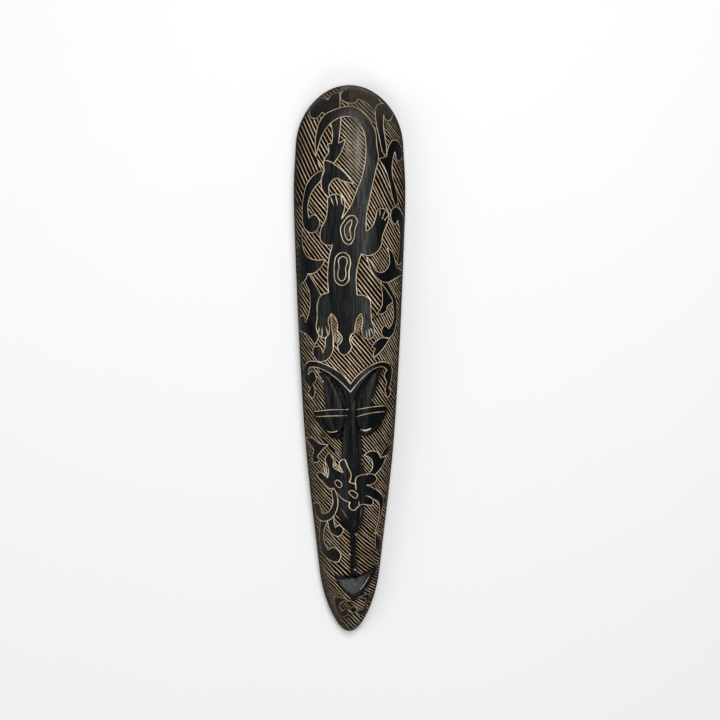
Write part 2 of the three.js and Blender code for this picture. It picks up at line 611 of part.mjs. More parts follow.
// The gouged runs of one figure. A run ends only where a neighbour draws the line; most are rings.
function gougeRuns(points, closed) {
  const spans = closed ? points.length : points.length - 1;
  const shared = points.findIndex((point) => point[2] === 2);
  const start = closed ? Math.max(shared, points.findIndex((point) => point[2]), 0) : 0;
  const runs = [];
  let run = [];
  let stretch = [];
  let cut = true;
  const finish = (end) => {
    if (cut && stretch.length) run.push(...thinned([...stretch, end]).slice(0, -1));
    stretch = [];
  };
  for (let n = 0; n < spans; n += 1) {
    const i = (start + n) % points.length;
    if (points[i][2]) {
      finish(points[i]);
      if (points[i][2] === 2 && run.length) {
        runs.push({ line: [...run, points[i]], ring: false });
        run = [];
      }
      cut = points[i][2] !== 2;
    }
    const next = points[(i + 1) % points.length];
    stretch.push(...spanPoints(points[i], next, spanTangents(points, i, closed)));
  }
  const end = points[(start + spans) % points.length];
  finish(end);
  const ring = closed && !points.some((point) => point[2] === 2);
  if (run.length) runs.push({ line: ring ? run : [...run, end], ring });
  return runs;
}

// One gouge line as a V-shaped bar that follows the front.
function gougeGeometry({ line, ring }, depth) {
  const flat = line.map((point) => unroll(drawn(point)));
  const count = flat.length;
  const reach = GROOVE_WIDTH / 2;
  const sections = flat.map((point, i) => {
    const before = flat[ring ? (i + count - 1) % count : Math.max(i - 1, 0)];
    const after = flat[ring ? (i + 1) % count : Math.min(i + 1, count - 1)];
    const length = Math.hypot(after[0] - before[0], after[1] - before[1]);
    const side = [(before[1] - after[1]) / length * reach, (after[0] - before[0]) / length * reach];
    const middle = frontPoint(point);
    const right = frontPoint([point[0] + side[0], point[1] + side[1]]);
    const left = frontPoint([point[0] - side[0], point[1] - side[1]]);
    const ahead = frontPoint([point[0] + side[1], point[1] - side[0]]);
    const width = right.clone().sub(left);
    const normal = new THREE.Vector3().crossVectors(width, ahead.sub(middle)).normalize();
    const across = width.normalize().multiplyScalar(reach * (1 + GROOVE_LIFT / depth));
    const top = middle.clone().addScaledVector(normal, GROOVE_LIFT);
    const bottom = middle.addScaledVector(normal, -depth);
    return [bottom, top.clone().add(across), top.sub(across)];
  });
  const skin = new Skin();
  for (let i = 0; i < (ring ? count : count - 1); i += 1) {
    const [here, there] = [sections[i], sections[(i + 1) % count]];
    for (let k = 0; k < 3; k += 1) {
      const next = (k + 1) % 3;
      skin.quad(here[k], there[k], there[next], here[next]);
    }
  }
  if (!ring) {
    const [a, b, c] = sections[0];
    skin.quad(a, b, c, c);
    const [d, e, f] = sections[count - 1];
    skin.quad(d, f, e, e);
  }
  return skin.geometry();
}

// Joining and cutting.
const wasm = await Module();
wasm.setup();

function solid(geometry) {
  return new wasm.Manifold(new wasm.Mesh({
    numProp: 3,
    vertProperties: new Float32Array(geometry.attributes.position.array),
    triVerts: new Uint32Array(geometry.index.array),
  }));
}

function joined(solids) {
  if (solids.length === 1) return solids[0];
  const half = Math.ceil(solids.length / 2);
  return joined(solids.slice(0, half)).add(joined(solids.slice(half)));
}

// The chips that two crossing gouge lines cut loose fall away: the largest connected body stays.
function withoutChips(triangles) {
  const owner = new Map(triangles.map((corner) => [corner, corner]));
  const bodyOf = (corner) => {
    let at = corner;
    while (owner.get(at) !== at) at = owner.get(at);
    return at;
  };
  for (let i = 0; i < triangles.length; i += 3) {
    const body = bodyOf(triangles[i]);
    owner.set(bodyOf(triangles[i + 1]), body);
    owner.set(bodyOf(triangles[i + 2]), body);
  }
  const bodies = new Map();
  for (const corner of triangles) {
    const body = bodyOf(corner);
    if (!bodies.has(body)) bodies.set(body, []);
    bodies.get(body).push(corner);
  }
  return [...bodies.values()].reduce((largest, body) => (body.length > largest.length ? body : largest));
}

function toGeometry(manifold) {
  const mesh = manifold.getMesh();
  const triangles = withoutChips(Array.from(mesh.triVerts));
  const used = [...new Set(triangles)];
  const order = new Map(used.map((corner, i) => [corner, i]));
  const places = used.flatMap((corner) => [...mesh.vertProperties.slice(3 * corner, 3 * corner + 3)]);
  const geometry = new THREE.BufferGeometry();
  geometry.setAttribute('position', new THREE.Float32BufferAttribute(places, 3));
  geometry.setIndex(triangles.map((corner) => order.get(corner)));
  geometry.computeVertexNormals();
  return geometry;
}

// Joining and cutting.
const LEAF_STEPS = [8, 4];
const NOSE_STEPS = [6, 4];
const MOUTH_STEPS = [8, 2];

function carvedMask() {
  const above = () => PATCH_MARGIN;
  const below = () => -SOCKET_DEPTH - PATCH_MARGIN;
  let mask = solid(blockGeometry());
  for (const eye of EYES) {
    const plan = (along, across) => leafPlan(socketOf(eye), along, across);
    mask = mask.subtract(solid(patchGeometry(plan, socketLevel, above, ...LEAF_STEPS, -1)));
  }
  for (const eye of EYES) {
    const plan = (along, across) => leafPlan(eye, along, across);
    mask = mask.add(solid(patchGeometry(plan, below, lidLevel, ...LEAF_STEPS, -1)));
  }
  mask = mask.add(solid(patchGeometry(nosePlan, below, noseLevel, ...NOSE_STEPS, -1)));
  mask = mask.subtract(solid(patchGeometry(mouthPlan, mouthLevel, above, ...MOUTH_STEPS, 0)));
  const lines = [
    ...FIGURES.flatMap((figure) => gougeRuns(figure, true)),
    ...LASHES.flatMap((lash) => gougeRuns(lash, false)),
  ];
  const depthOf = (i) => GROOVE_DEPTH * (1 + DEPTH_SPREAD * ((i % DEPTH_SORTS) / DEPTH_SORTS));
  return mask.subtract(joined(lines.map((line, i) => solid(gougeGeometry(line, depthOf(i))))));
}

const mask = new THREE.Mesh(
  toGeometry(carvedMask()),
  new THREE.MeshStandardMaterial({ color: 0x1c1a19, roughness: 0.45, metalness: 0 }),
);
mask.name = 'carved_mask';

const part = new THREE.Group();
part.add(mask);
export default part;
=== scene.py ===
"""A long carved wooden face mask, lying on its flat back rim with the face up.

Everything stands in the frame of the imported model, in metres: +Y to the top of the head, +Z out of the
face. The carving is worked out in millimetres on the front laid out flat, bent round the dome and cut.
"""
import math

import bmesh
import bpy
import numpy as np
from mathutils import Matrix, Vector, geometry, kdtree


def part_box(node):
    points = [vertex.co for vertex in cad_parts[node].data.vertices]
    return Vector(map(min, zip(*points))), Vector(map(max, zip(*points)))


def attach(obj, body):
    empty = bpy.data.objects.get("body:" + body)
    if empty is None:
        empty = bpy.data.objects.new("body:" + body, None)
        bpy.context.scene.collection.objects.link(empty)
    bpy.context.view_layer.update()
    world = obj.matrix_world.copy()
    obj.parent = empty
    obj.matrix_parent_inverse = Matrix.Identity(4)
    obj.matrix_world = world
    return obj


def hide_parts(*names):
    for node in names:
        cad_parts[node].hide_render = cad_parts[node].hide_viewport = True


bl_info = {
    "name": "Carved Wooden Mask",
    "version": (1, 0, 0),
    "blender": (4, 5, 0),
    "location": "View3D > Sidebar > Mask",
    "description": "Builds a long carved wooden face mask with hatched ground, and a plain stage",
    "category": "Object",
}

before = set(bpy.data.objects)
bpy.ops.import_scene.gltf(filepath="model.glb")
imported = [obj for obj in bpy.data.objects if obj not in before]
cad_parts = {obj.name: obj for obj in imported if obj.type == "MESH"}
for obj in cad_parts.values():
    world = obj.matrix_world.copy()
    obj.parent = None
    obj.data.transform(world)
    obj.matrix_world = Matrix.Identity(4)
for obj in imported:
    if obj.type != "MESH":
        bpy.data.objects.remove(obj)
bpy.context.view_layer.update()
MASK_LOW, MASK_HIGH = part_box("carved_mask")

# A millimetre in metres, and the least that a length is divided by.
MM = 0.001
NOTHING = 1e-6

# Every random draw follows from this number.
SEED = 7

# The block, in millimetres. A cap is the length over which an end is rounded. The visual mask is smaller
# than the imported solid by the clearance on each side.
LENGTH = 750.0
WIDTH = 154.0
CROWN_HEIGHT = 58.0
TOP_CAP = 82.0
CHIN_CAP = 82.0
CLEARANCE = 0.05

# The carving is drawn on squared paper laid over the front: so many squares to the length and the
# width. A drawn point is (column, row). A third number marks a sharp corner: 1, or 2 where a
# neighbour draws the line from there to the next corner.
SQUARES_LONG = 546
SQUARES_WIDE = 112
MIDDLE_COLUMN = 349
TOP_ROW = 84.5
SQUARE_X = WIDTH / SQUARES_WIDE
SQUARE_Y = LENGTH / SQUARES_LONG

# Half the width along the length before the ends are rounded, in squares, and the crest's height.
HALF_WIDTHS = [(0, 51), (60, 53.9), (105, 56), (165, 54.4), (265, 50), (365, 43.5), (465, 32.3), (546, 22.3)]
CREST = [
    (0, 0.86), (60, 0.9), (140, 0.98), (225, 1), (300, 0.97), (370, 0.87), (440, 0.72), (486, 0.58),
    (546, 0.48),
]

# The cross section is an oval of this power. Laid out flat, the front is so many times its width. The
# line from the spine through a point is found by halving its range of angles.
SECTION_POWER = 2.2
UNROLL = 1.38
HALVINGS = 30

# The face, in millimetres.
SOCKET_DEPTH = 8.0
LID_RISE = 8.0
NOSE_RISE = 9.0
MOUTH_DEPTH = 7.0
LIP_WALL = 0.5

# How its curves swell: an eye's leaf from the tip and to the round end, the lips, the mouth's scoop and
# the nose down from its ridge.
LEAF_TIP_POWER = 0.8
LEAF_END_POWER = 0.5
UPPER_LIP_POWER = 1.3
LOWER_LIP_POWER = 1.8
SCOOP_POWER = 2
NOSE_POWER = 1.6

# The eyes are leaves from a tip under the brow to a round end. Columns and rows as above.
EYES = [
    {"tip": (319, 369), "end": (337, 432), "half": 14.5},
    {"tip": (381, 367), "end": (363, 430), "half": 14.5},
]
SOCKET_SPREAD = 4.5

# The nose is widest from a share of its length on, and its ridge stands off its middle by a share of its
# half width. Each lip sags below the line between the mouth's corners.
NOSE = {
    "top": (349.5, 396), "tip": (351.5, 531), "half_top": 4, "half_tip": 14, "full_at": 0.86, "ridge": 0.3,
}
MOUTH = {"left": (335, 576.5), "right": (376.5, 566), "dip": 5, "sag": 23}

# The large lizard hangs head down; its tail arches over the forehead.
LIZARD_TAIL_OUTSIDE = [
    (314.8, 156, 1), (315, 137), (318, 124), (324, 114.5), (332, 110), (344, 106.5), (354, 106.7),
    (362, 111.5), (370, 121), (375, 131), (376.6, 146), (378, 158), (375, 172), (370, 195), (366, 215),
    (365.8, 231, 1),
]
LIZARD_RIGHT_ARM = [
    (372, 225.5), (375.3, 217), (377, 210), (381, 208), (386, 210), (388.7, 217), (386, 225.5),
    (382.5, 235), (380.5, 246), (376, 252), (369, 255.2), (361, 253.5, 1),
]
LIZARD_RIGHT_LEG = [
    (357.8, 263), (355.7, 278), (356.8, 294.5, 1), (364, 295.3), (369.3, 299), (370.5, 308), (371, 319),
    (373.8, 328), (373.5, 335), (369, 338.6), (363.5, 336.5), (361.2, 330), (362.3, 319), (360.5, 313, 1),
    (356, 319.5), (354.3, 331.5, 1),
]
LIZARD_HEAD = [
    (350.3, 335), (349.4, 340), (351.4, 346, 1), (349, 351), (344, 354.5), (339, 352), (337, 345, 1),
    (340.6, 341.5), (341.5, 337), (336.6, 330, 1),
]
LIZARD_LEFT_LEG = [
    (336.8, 323), (334, 316), (330.5, 313.3, 1), (327.6, 320), (329, 328), (327.8, 334.5, 1),
    (323.5, 337.5), (318.3, 334.3), (315.6, 328), (316.6, 316), (316.8, 303), (320.5, 295),
    (328, 292.2, 1),
]
LIZARD_LEFT_ARM = [
    (327, 276), (328.5, 258), (332, 244.5, 1), (325, 244.5), (320, 240), (320.3, 229), (325, 219),
    (327, 208), (327.7, 197), (334, 194), (341, 195.6), (344.4, 203), (341, 218.5, 1), (347, 210.5),
    (351.3, 203.5, 1),
]
LIZARD_TAIL_INSIDE = [
    (356, 191), (362, 175), (365.5, 153), (364, 134), (357.5, 121.5), (348, 116.2), (338, 117.8),
    (328, 125), (321, 136), (316.6, 150),
]
LIZARD = [
    *LIZARD_TAIL_OUTSIDE, *LIZARD_RIGHT_ARM, *LIZARD_RIGHT_LEG, *LIZARD_HEAD, *LIZARD_LEFT_LEG,
    *LIZARD_LEFT_ARM, *LIZARD_TAIL_INSIDE,
]
LIZARD_UPPER_RING = [
    (340, 228), (343.5, 221), (348, 216), (353.5, 215.5), (357, 220.5), (354.5, 229), (353.5, 238),
    (349, 244), (343.5, 241.5),
]
LIZARD_LOWER_RING = [
    (334, 262), (336, 255.5), (342, 252), (348, 255), (350, 262), (348.6, 271), (347.6, 281),
    (341.5, 285), (335, 281), (333.6, 271),
]

# Leaves and scrolls of the forehead, from the top down.
TAIL_BUD = [
    (330, 123.5, 1), (332, 134), (331, 143, 1), (327, 144, 1), (328, 152), (323.3, 160), (324, 170.5, 1),
    (320.5, 180), (321.5, 189), (327, 196.5, 2), (329, 196, 1), (328.7, 185), (335, 178), (343, 181),
    (353, 183.3, 1), (344, 172), (333, 163.5, 1), (341, 151), (345, 139, 1), (338, 143, 1), (340, 125),
    (340.5, 117.5, 2),
]
TOP_LEFT_LEAF = [
    (339.5, 107.5, 1), (339.5, 92, 1), (332, 93.5), (327.5, 99.3, 1), (319, 97), (312, 102.5),
    (308.5, 110.7, 1), (310, 116.5), (315, 118), (321.6, 111.7, 1), (324.3, 114.3, 2), (331, 110.7),
]
TOP_RIGHT_LEAF = [
    (347, 88, 1), (360, 89.5), (373, 95), (382, 103, 2), (374, 112.5, 1), (368.5, 104.5),
    (357.5, 98.5, 1), (355, 102.2), (348, 102.6), (341, 99.5), (339.7, 95), (342, 90.8),
]
CANE = [
    (375, 110, 1), (377, 104.7), (383, 103), (389, 107), (392.3, 114), (390, 120, 1), (385, 119),
    (383.5, 114, 1), (383.3, 127), (386, 146), (386.5, 155, 1), (383, 153), (378.5, 135), (375.6, 121),
]
RIGHT_TOP_LEAF = [
    (392, 140, 1), (397, 140), (401, 147), (402, 157), (398, 161), (394.6, 151, 1), (392.2, 162),
    (392.3, 176), (396.5, 191), (398, 203, 1), (395, 206, 1), (391.5, 194), (389, 181), (385, 169),
    (378.5, 158.7, 1), (386.3, 156, 1), (388, 147),
]
RIGHT_BULB = [
    (395.5, 206, 1), (391, 210.5), (391, 219), (394.5, 224), (397.6, 219.5, 1), (399.6, 235),
    (398.5, 252), (397, 264, 1), (400.5, 263), (403, 249), (403.8, 228), (401, 211),
]
RIGHT_CALYX = [
    (386.8, 247.5, 1), (391.5, 251), (395, 260), (396, 266.5, 1), (401.5, 270, 2), (401.5, 274.5, 1),
    (395, 278), (387, 282), (379, 279.5), (372, 272), (366, 256, 1), (371, 262), (376, 270.5),
    (383, 271.5), (388.7, 265), (389, 255),
]
RIGHT_DROP = [
    (380, 281.5, 1), (388.5, 293), (392.2, 301), (387, 305.5, 1), (385, 311.5), (376, 314.3, 1),
    (381.3, 305.5), (382, 294),
]
RIGHT_CANE = [
    (380, 281.5, 2), (387, 282, 1), (392, 290.5), (396.3, 301), (396.5, 318), (393.5, 332),
    (389.5, 337.5, 1), (383.5, 336.7), (381.2, 331), (384, 325), (388.5, 328, 1), (392.5, 321),
    (393, 308), (392.2, 301, 2), (388.5, 293),
]
RIGHT_LOW_LEAF = [
    (389.5, 337.5, 1), (380, 337.7), (371, 346.3, 1), (375, 348.3, 1), (373, 353), (374, 357, 1),
    (382, 349),
]
LEFT_SCROLL = [
    (323, 169.5, 1), (314, 174), (306.5, 183), (302.5, 198), (301.5, 216), (304, 228), (310.5, 232.6),
    (317, 229), (319, 221), (314, 214.4), (308, 217.5, 1), (307.2, 205), (311, 192), (320.3, 180.5, 1),
]
LEFT_LEAF = [
    (301.6, 228, 1), (302, 246), (306.5, 256), (315, 259.5), (324.5, 259, 1), (321, 266), (313, 272.8),
    (307, 273.3, 1), (304.8, 279), (299.3, 284.3, 2), (297.6, 256),
]
LEFT_STEM = [
    (308, 273.5, 1), (314.5, 284), (320.5, 295, 2), (316.8, 303), (316.6, 316), (315.6, 328, 1),
    (317.8, 336), (314, 344.3, 1), (306, 334), (298.5, 330.5, 1), (298.3, 318), (302, 314.4),
    (304.8, 322.3, 1), (309, 308), (308.7, 292), (304, 281.3, 2),
]
BROW_SCROLL = [
    (330.5, 313.3, 2), (327.6, 320), (329, 328), (327.8, 334.5, 1), (325, 338), (324.5, 346),
    (322, 352.5, 1), (319.5, 346.3), (313.3, 346, 1), (312.3, 353), (318, 361), (326, 359.5),
    (331.7, 352), (333, 341), (331, 325),
]

# The brow: one band in a V over the nose, curled in at both ends.
BROW_BAND = [
    (350, 383.5, 1), (341, 373.3), (330, 366.5), (318, 361.5), (308, 361), (303, 367), (303, 379),
    (309.5, 387.3, 1), (308, 393.5), (311.7, 397.5), (314.6, 391), (312.2, 383.8, 1), (315.8, 378),
    (312, 370.2), (307.4, 374.3, 1), (309, 367), (318, 367.4), (334, 376.3), (350, 391.5, 1),
    (361, 378.3), (373, 368.7), (382.5, 366.2), (387, 369.5, 1), (384, 374.5), (386.5, 381.5, 1),
    (384.8, 391), (387.3, 397), (390.5, 391), (388.7, 387.5, 1), (391.3, 377), (390.7, 364.8),
    (382, 361.2), (368, 366.5), (358, 374),
]
LASHES = [
    [(313, 411), (330, 409.2), (346, 409)],
    [(316, 416), (332, 415.3), (346, 415)],
    [(356, 409), (370, 406.6), (385, 405)],
    [(356, 416), (370, 412.5), (384, 411)],
]

# The small lizard that lies across the nose, its tail running down the right cheek.
SMALL_LIZARD = [
    (327, 477, 1), (328, 469), (324.4, 458.5), (328.5, 452.7), (333.4, 460, 1), (332.8, 466),
    (342.5, 472, 1), (338.8, 461.8), (343.5, 458.6), (347, 465.5), (350.6, 474), (348.7, 481.5, 1),
    (355, 483.5, 1), (355.8, 477), (361, 474.4), (373, 473.7), (376.7, 478), (373, 483), (366, 484.3, 1),
    (378, 490.5), (383.3, 498), (381.5, 511), (377, 531, 1), (374.3, 533, 1), (379, 514), (378.3, 502),
    (372.5, 498.2, 1), (372, 504.3), (361, 503.7), (353, 509.6), (348.5, 506), (349.5, 501.5, 1),
    (342, 498.3), (333, 487.3, 1), (329, 487.8), (322, 481), (316.3, 474), (318.5, 471.2),
]

# Leaves and scrolls of the cheeks and the chin.
LEFT_CHEEK_LEAF = [
    (304, 438.5, 1), (310, 436.7), (319, 442.7), (327.5, 444, 1), (321.5, 449.5), (316.3, 456, 1),
    (318.5, 460), (313.5, 462), (311.3, 457), (313, 449),
]
RIGHT_CHEEK_CRESCENT = [
    (363.5, 454.7, 1), (370, 450.4), (377, 451.5), (380.3, 457.3, 1), (386, 455, 1), (382, 465.5),
    (374.5, 474.5, 2), (366.3, 474.3, 1), (372, 467.5), (371, 458.5),
]
RIGHT_CHEEK_LEAF = [(380.3, 456.7, 1), (384, 449.5), (391, 443, 1), (389, 450), (385.5, 455, 2)]
LEFT_HOOK = [
    (333.3, 487.5, 1), (337.3, 499), (335.5, 511), (329.5, 518.8), (321, 520.3), (315, 513.5),
    (312.5, 502.8, 1), (317.5, 502.3), (321.2, 512.3, 1), (327, 511.7), (332.3, 502), (331, 490.3),
]
LOWER_HOOK = [
    (327, 520.3, 2), (333.4, 515, 1), (333.4, 521), (334.8, 526.8, 1), (339, 524.5), (343, 529.5),
    (338, 535.6), (330.5, 532.3),
]
LEFT_JAW_SCROLL = [
    (319.7, 520, 2), (326.8, 520.7, 1), (323, 531), (323.5, 541), (327.5, 549.3, 1), (333, 546.6),
    (340.3, 554), (337, 561.2), (329, 559.3), (320.3, 551.3, 1), (318.8, 536),
]
CHIN_LEFT_SCROLL = [
    (333, 596.5, 1), (341, 597.3), (350, 600.5, 1), (340.5, 601.5), (338.5, 606), (341.5, 610.5, 1),
    (345.5, 608.3), (348, 612.5), (343, 616), (336.5, 610.5),
]
CHIN_RIGHT_SCROLL = [
    (358.5, 596.5, 1), (369.5, 592.5, 1), (367, 603), (363.5, 612.5), (359.5, 614.6), (356.7, 611),
    (363, 609.3, 1), (365.5, 602), (365.5, 598, 1),
]

LIZARD_SMALL_RINGS = [
    [(334.3, 481), (337, 479.3), (341.3, 483.5), (339.5, 487), (336, 485)],
    [(348.2, 491), (351, 489.8), (357.3, 493.8), (355.3, 497.6), (350.5, 494.5)],
]
CHIN_BEAD = [(348.8, 609), (353, 605.9), (357.2, 609), (353, 612.2)]
RIGHT_JAW_LEAF = [(376, 532, 1), (380.5, 541), (376.5, 552, 1), (375, 542)]
CANE_WEDGE = [(376, 131, 1), (379, 140), (382.5, 153, 1), (378.5, 158.5, 1), (376.8, 150)]

FIGURES = [
    LIZARD, TAIL_BUD, TOP_LEFT_LEAF, TOP_RIGHT_LEAF, CANE, RIGHT_TOP_LEAF, RIGHT_BULB, RIGHT_CALYX,
    RIGHT_DROP, RIGHT_CANE, RIGHT_LOW_LEAF, LEFT_SCROLL, LEFT_LEAF, LEFT_STEM, BROW_SCROLL, BROW_BAND,
    SMALL_LIZARD, LEFT_CHEEK_LEAF, RIGHT_CHEEK_CRESCENT, RIGHT_CHEEK_LEAF, LEFT_HOOK, LOWER_HOOK,
    LEFT_JAW_SCROLL, CHIN_LEFT_SCROLL, CHIN_RIGHT_SCROLL, CHIN_BEAD, RIGHT_JAW_LEAF,
]
RINGS = [LIZARD_UPPER_RING, LIZARD_LOWER_RING, *LIZARD_SMALL_RINGS]

# The second line inside each of the large lizard's rings.
INNER_RINGS = [
    [
        (344, 229), (344.5, 226), (347.5, 222), (351, 219.5), (351, 224), (349.5, 228), (350, 234),
        (350.5, 238), (348, 240), (345.5, 237), (344, 232),
    ],
    [
        (338, 262), (338.5, 258.5), (341, 256.5), (344, 256.5), (346.5, 259), (346.5, 263), (345, 268),
        (345.5, 273), (344.5, 278), (342, 280.5), (339.5, 280), (337.5, 277), (337.5, 272), (338.5, 267),
    ],
]
# Single cuts: the slits of the two lizards' toes, the lines of the large lizard's head, and small ones in
# the bud, by the brow and at the small lizard's leg.
TOE_CUTS = [
    [(330, 197), (332.5, 203.5)], [(335, 195), (337, 204)], [(340.5, 195), (341.5, 203.5)],
    [(379.5, 209), (379.5, 214.5)], [(384.5, 211), (382.5, 216.5)], [(388, 215), (385.5, 218.5)],
    [(318.5, 327), (318.2, 332)], [(321.5, 327.5), (321.3, 336.5)], [(325.5, 327), (327.5, 335)],
    [(366, 331), (366.5, 338)], [(368.5, 329), (369.5, 337.5)], [(371.3, 330), (372.5, 333.5)],
    [(365.5, 495), (369, 496), (372.5, 498.2)], [(355.3, 483.5), (355.5, 488)],
    [(322.8, 464.5), (325, 474.5)], [(324.6, 462), (326.8, 476)],
    [(358.5, 501), (358.5, 505)],
]
HEAD_CUTS = [
    [(335.5, 333), (338.3, 335.5), (338.8, 338.5), (337.5, 341), (336, 342.5)],
    [(334.5, 332), (334.5, 341)], [(332.5, 333), (332.5, 348)],
    [(354.5, 335), (352, 337), (351.3, 339.5), (352.3, 342.5), (353.5, 344.5)],
]
SMALL_CUTS = [
    [(323.5, 160), (330, 161.5), (333, 163.5)], [(313, 367.5), (318, 372.5)],
    [(318, 376), (321.5, 380)], [(335.3, 459), (334.2, 463), (336.5, 467), (339.7, 468)],
]

# The black parts that carry no hatching and no outline: the eyes, the nose, the mouth and a wedge by the
# forehead's cane.
FACE_PLATEAU = [
    (350, 391.5, 1), (341, 381.5), (333, 375.5), (325, 370.5), (318.5, 369, 1), (320.5, 376), (322.5, 385),
    (324, 395), (325, 408.5, 1), (313, 410.5, 1), (314, 416), (319, 424.5), (325.5, 432), (332, 436.5, 1),
    (342, 439, 1), (341.2, 447), (341, 459), (340, 470), (338, 487), (337, 495), (337, 510), (340, 520),
    (346, 527), (349.4, 530.5, 1), (349.4, 577, 1), (356, 577, 1), (356, 530.5, 1), (359, 527),
    (362.5, 519), (364, 506), (363, 490), (362.8, 470), (362, 455), (361.5, 441), (361, 435, 1),
    (364, 435), (371, 433), (378, 427.5), (383, 420), (386.3, 412), (386.3, 405.5, 1), (371, 404.5, 1),
    (373.5, 396), (377, 385), (380, 373), (382, 368.5, 1), (377, 367), (370, 370.5), (361, 378.3),
]
MOUTH_PLATEAU = [
    (334.5, 575, 1), (341, 574.5), (346, 574.8), (353, 576.5), (362, 573), (371, 568.5), (376, 565.5, 1),
    (373.5, 573), (369.5, 582), (364, 590.5), (354.5, 600.5, 1), (348, 596), (342.5, 589.5), (337, 582.5),
]
PLAIN_PLATEAUS = [FACE_PLATEAU, MOUTH_PLATEAU, CANE_WEDGE]

# Painted highlights and glints where the light catches the eyes' lower rims, the nose and the lower lip:
# shallow cuts painted pale. (line, how pale, width in millimetres). At 1 it is bare wood's colour and above
# 1 it is a painted white glint.
HIGHLIGHT_CUTS = [
    ([(352, 420), (354, 432), (355.6, 446), (356.6, 462)], 0.25, 1.0),
    ([(327.5, 431), (331.5, 431.6), (335.5, 430.8)], 1.7, 2.0),
    ([(360.5, 429.2), (365, 430), (370, 428)], 2.2, 3.4),
    ([(359.4, 589.3), (363.3, 584.5), (366.8, 579), (369.5, 574.5)], 0.82, 1.2),
    ([(341, 508), (343.5, 512), (347, 518)], 0.5, 1.0),
    ([(361, 507), (360.5, 511), (360, 515)], 0.5, 1.0),
]

# Figures whose outlines are rubbed down and show faintly.
FAINT_FIGURES = [RIGHT_JAW_LEAF, CHIN_LEFT_SCROLL, CHIN_RIGHT_SCROLL, CHIN_BEAD, RIGHT_CHEEK_LEAF]
FAINT_PALENESS = 0.6

# The lesser cuts: their depth against the outlines', and the millimetres over which their ends narrow.
INNER_RING_DEPTH = 0.6
LASH_DEPTH = 0.8
LASH_TAPER = 6.0
SINGLE_CUT_DEPTH = 0.7
SINGLE_CUT_TAPER = 3.0
# The painted highlights' cuts are shallow; their paleness paints the light.
HIGHLIGHT_CUT_DEPTH = 0.2
HIGHLIGHT_CUT_TAPER = 5.0

# A toe's slit against an outline's width, and what is left of a cut's width at a narrowed end.
TOE_CUT_WIDTH = 1.2
TIP_WIDTH = 0.45

# Where the scooped mouth shines: it is painted a lighter grey there, a painted sheen, and its polish is
# kept.
MOUTH_SHINE = [
    (334.5, 575.5, 1), (341, 576), (349, 577.5), (354, 579), (361, 575.5), (368, 571), (375.5, 566.5, 1),
    (370.5, 573), (367.5, 578.5), (364, 584), (360, 588.8), (355.5, 591.7), (350.5, 591.5), (344, 587.5),
    (338.5, 582),
]

# Pale patches on the forehead's hatched ground, in metres: (middle, half lengths, how much, tone). They are
# a painted glare where the light glares on the forehead, and a dusty paleness round it.
DUST_AND_GLARE_PATCHES = [
    ((0.0085, 0.287, 0.0), (0.016, 0.055), 0.5, 0.14),
    ((0.0118, 0.285, 0.0), (0.0055, 0.032), 0.55, 0.34),
    ((-0.0035, 0.288, 0.0), (0.003, 0.013), 0.6, 0.3),
]

# A patch is whole up to the first share of its half lengths, and gone at the second.
PATCH_RANGE = (0.3, 1.2)

# The hatching runs down to the right. Each entry is a row of the drawing, the pitch there against the
# pitch over the large lizard, and how steeply the lines fall at each of the columns.
HATCH_COLUMNS = [300, 312, 324, 348, 372, 384, 396]
HATCH_FIELD = [
    (84, 0.86, 1.9, 1.6, 1.2, 0.9, 0.9, 1.1, 1.3), (120, 0.86, 2.2, 2.1, 1.7, 1.05, 1.0, 1.3, 1.4),
    (150, 0.95, 2.2, 2.1, 1.65, 1.1, 1.4, 1.9, 1.8), (180, 1.0, 2.0, 1.8, 1.4, 1.3, 1.7, 2.2, 2.1),
    (200, 1.03, 1.5, 1.3, 1.2, 1.5, 1.7, 2.0, 2.0), (236, 0.94, 1.5, 1.4, 1.2, 1.3, 1.65, 1.6, 1.85),
    (265, 0.88, 1.5, 1.45, 1.18, 1.25, 1.55, 1.52, 1.7), (290, 1.0, 1.6, 1.5, 1.15, 1.26, 1.4, 1.5, 1.8),
    (318, 1.05, 1.5, 1.4, 1.2, 1.15, 1.5, 1.9, 2.1), (346, 0.96, 1.4, 1.3, 1.2, 1.18, 1.2, 1.8, 1.9),
    (375, 0.8, 1.4, 1.3, 1.22, 1.08, 1.3, 1.5, 1.5), (405, 0.8, 1.4, 1.35, 1.25, 1.0, 1.2, 1.5, 1.5),
    (440, 0.74, 1.4, 1.3, 1.05, 0.95, 1.2, 1.5, 1.6), (490, 0.7, 1.25, 1.2, 1.0, 0.95, 1.2, 1.25, 1.3),
    (530, 0.76, 1.2, 1.2, 1.15, 0.95, 0.85, 0.85, 0.85), (558, 0.7, 1.1, 1.1, 1.05, 0.9, 0.7, 0.6, 0.6),
    (576, 0.7, 1.1, 1.1, 1.05, 0.94, 0.55, 0.5, 0.5), (602, 0.7, 1.15, 1.15, 1.15, 1.0, 0.65, 0.6, 0.6),
    (630, 0.7, 1.0, 1.0, 1.0, 1.0, 0.85, 0.8, 0.8),
]

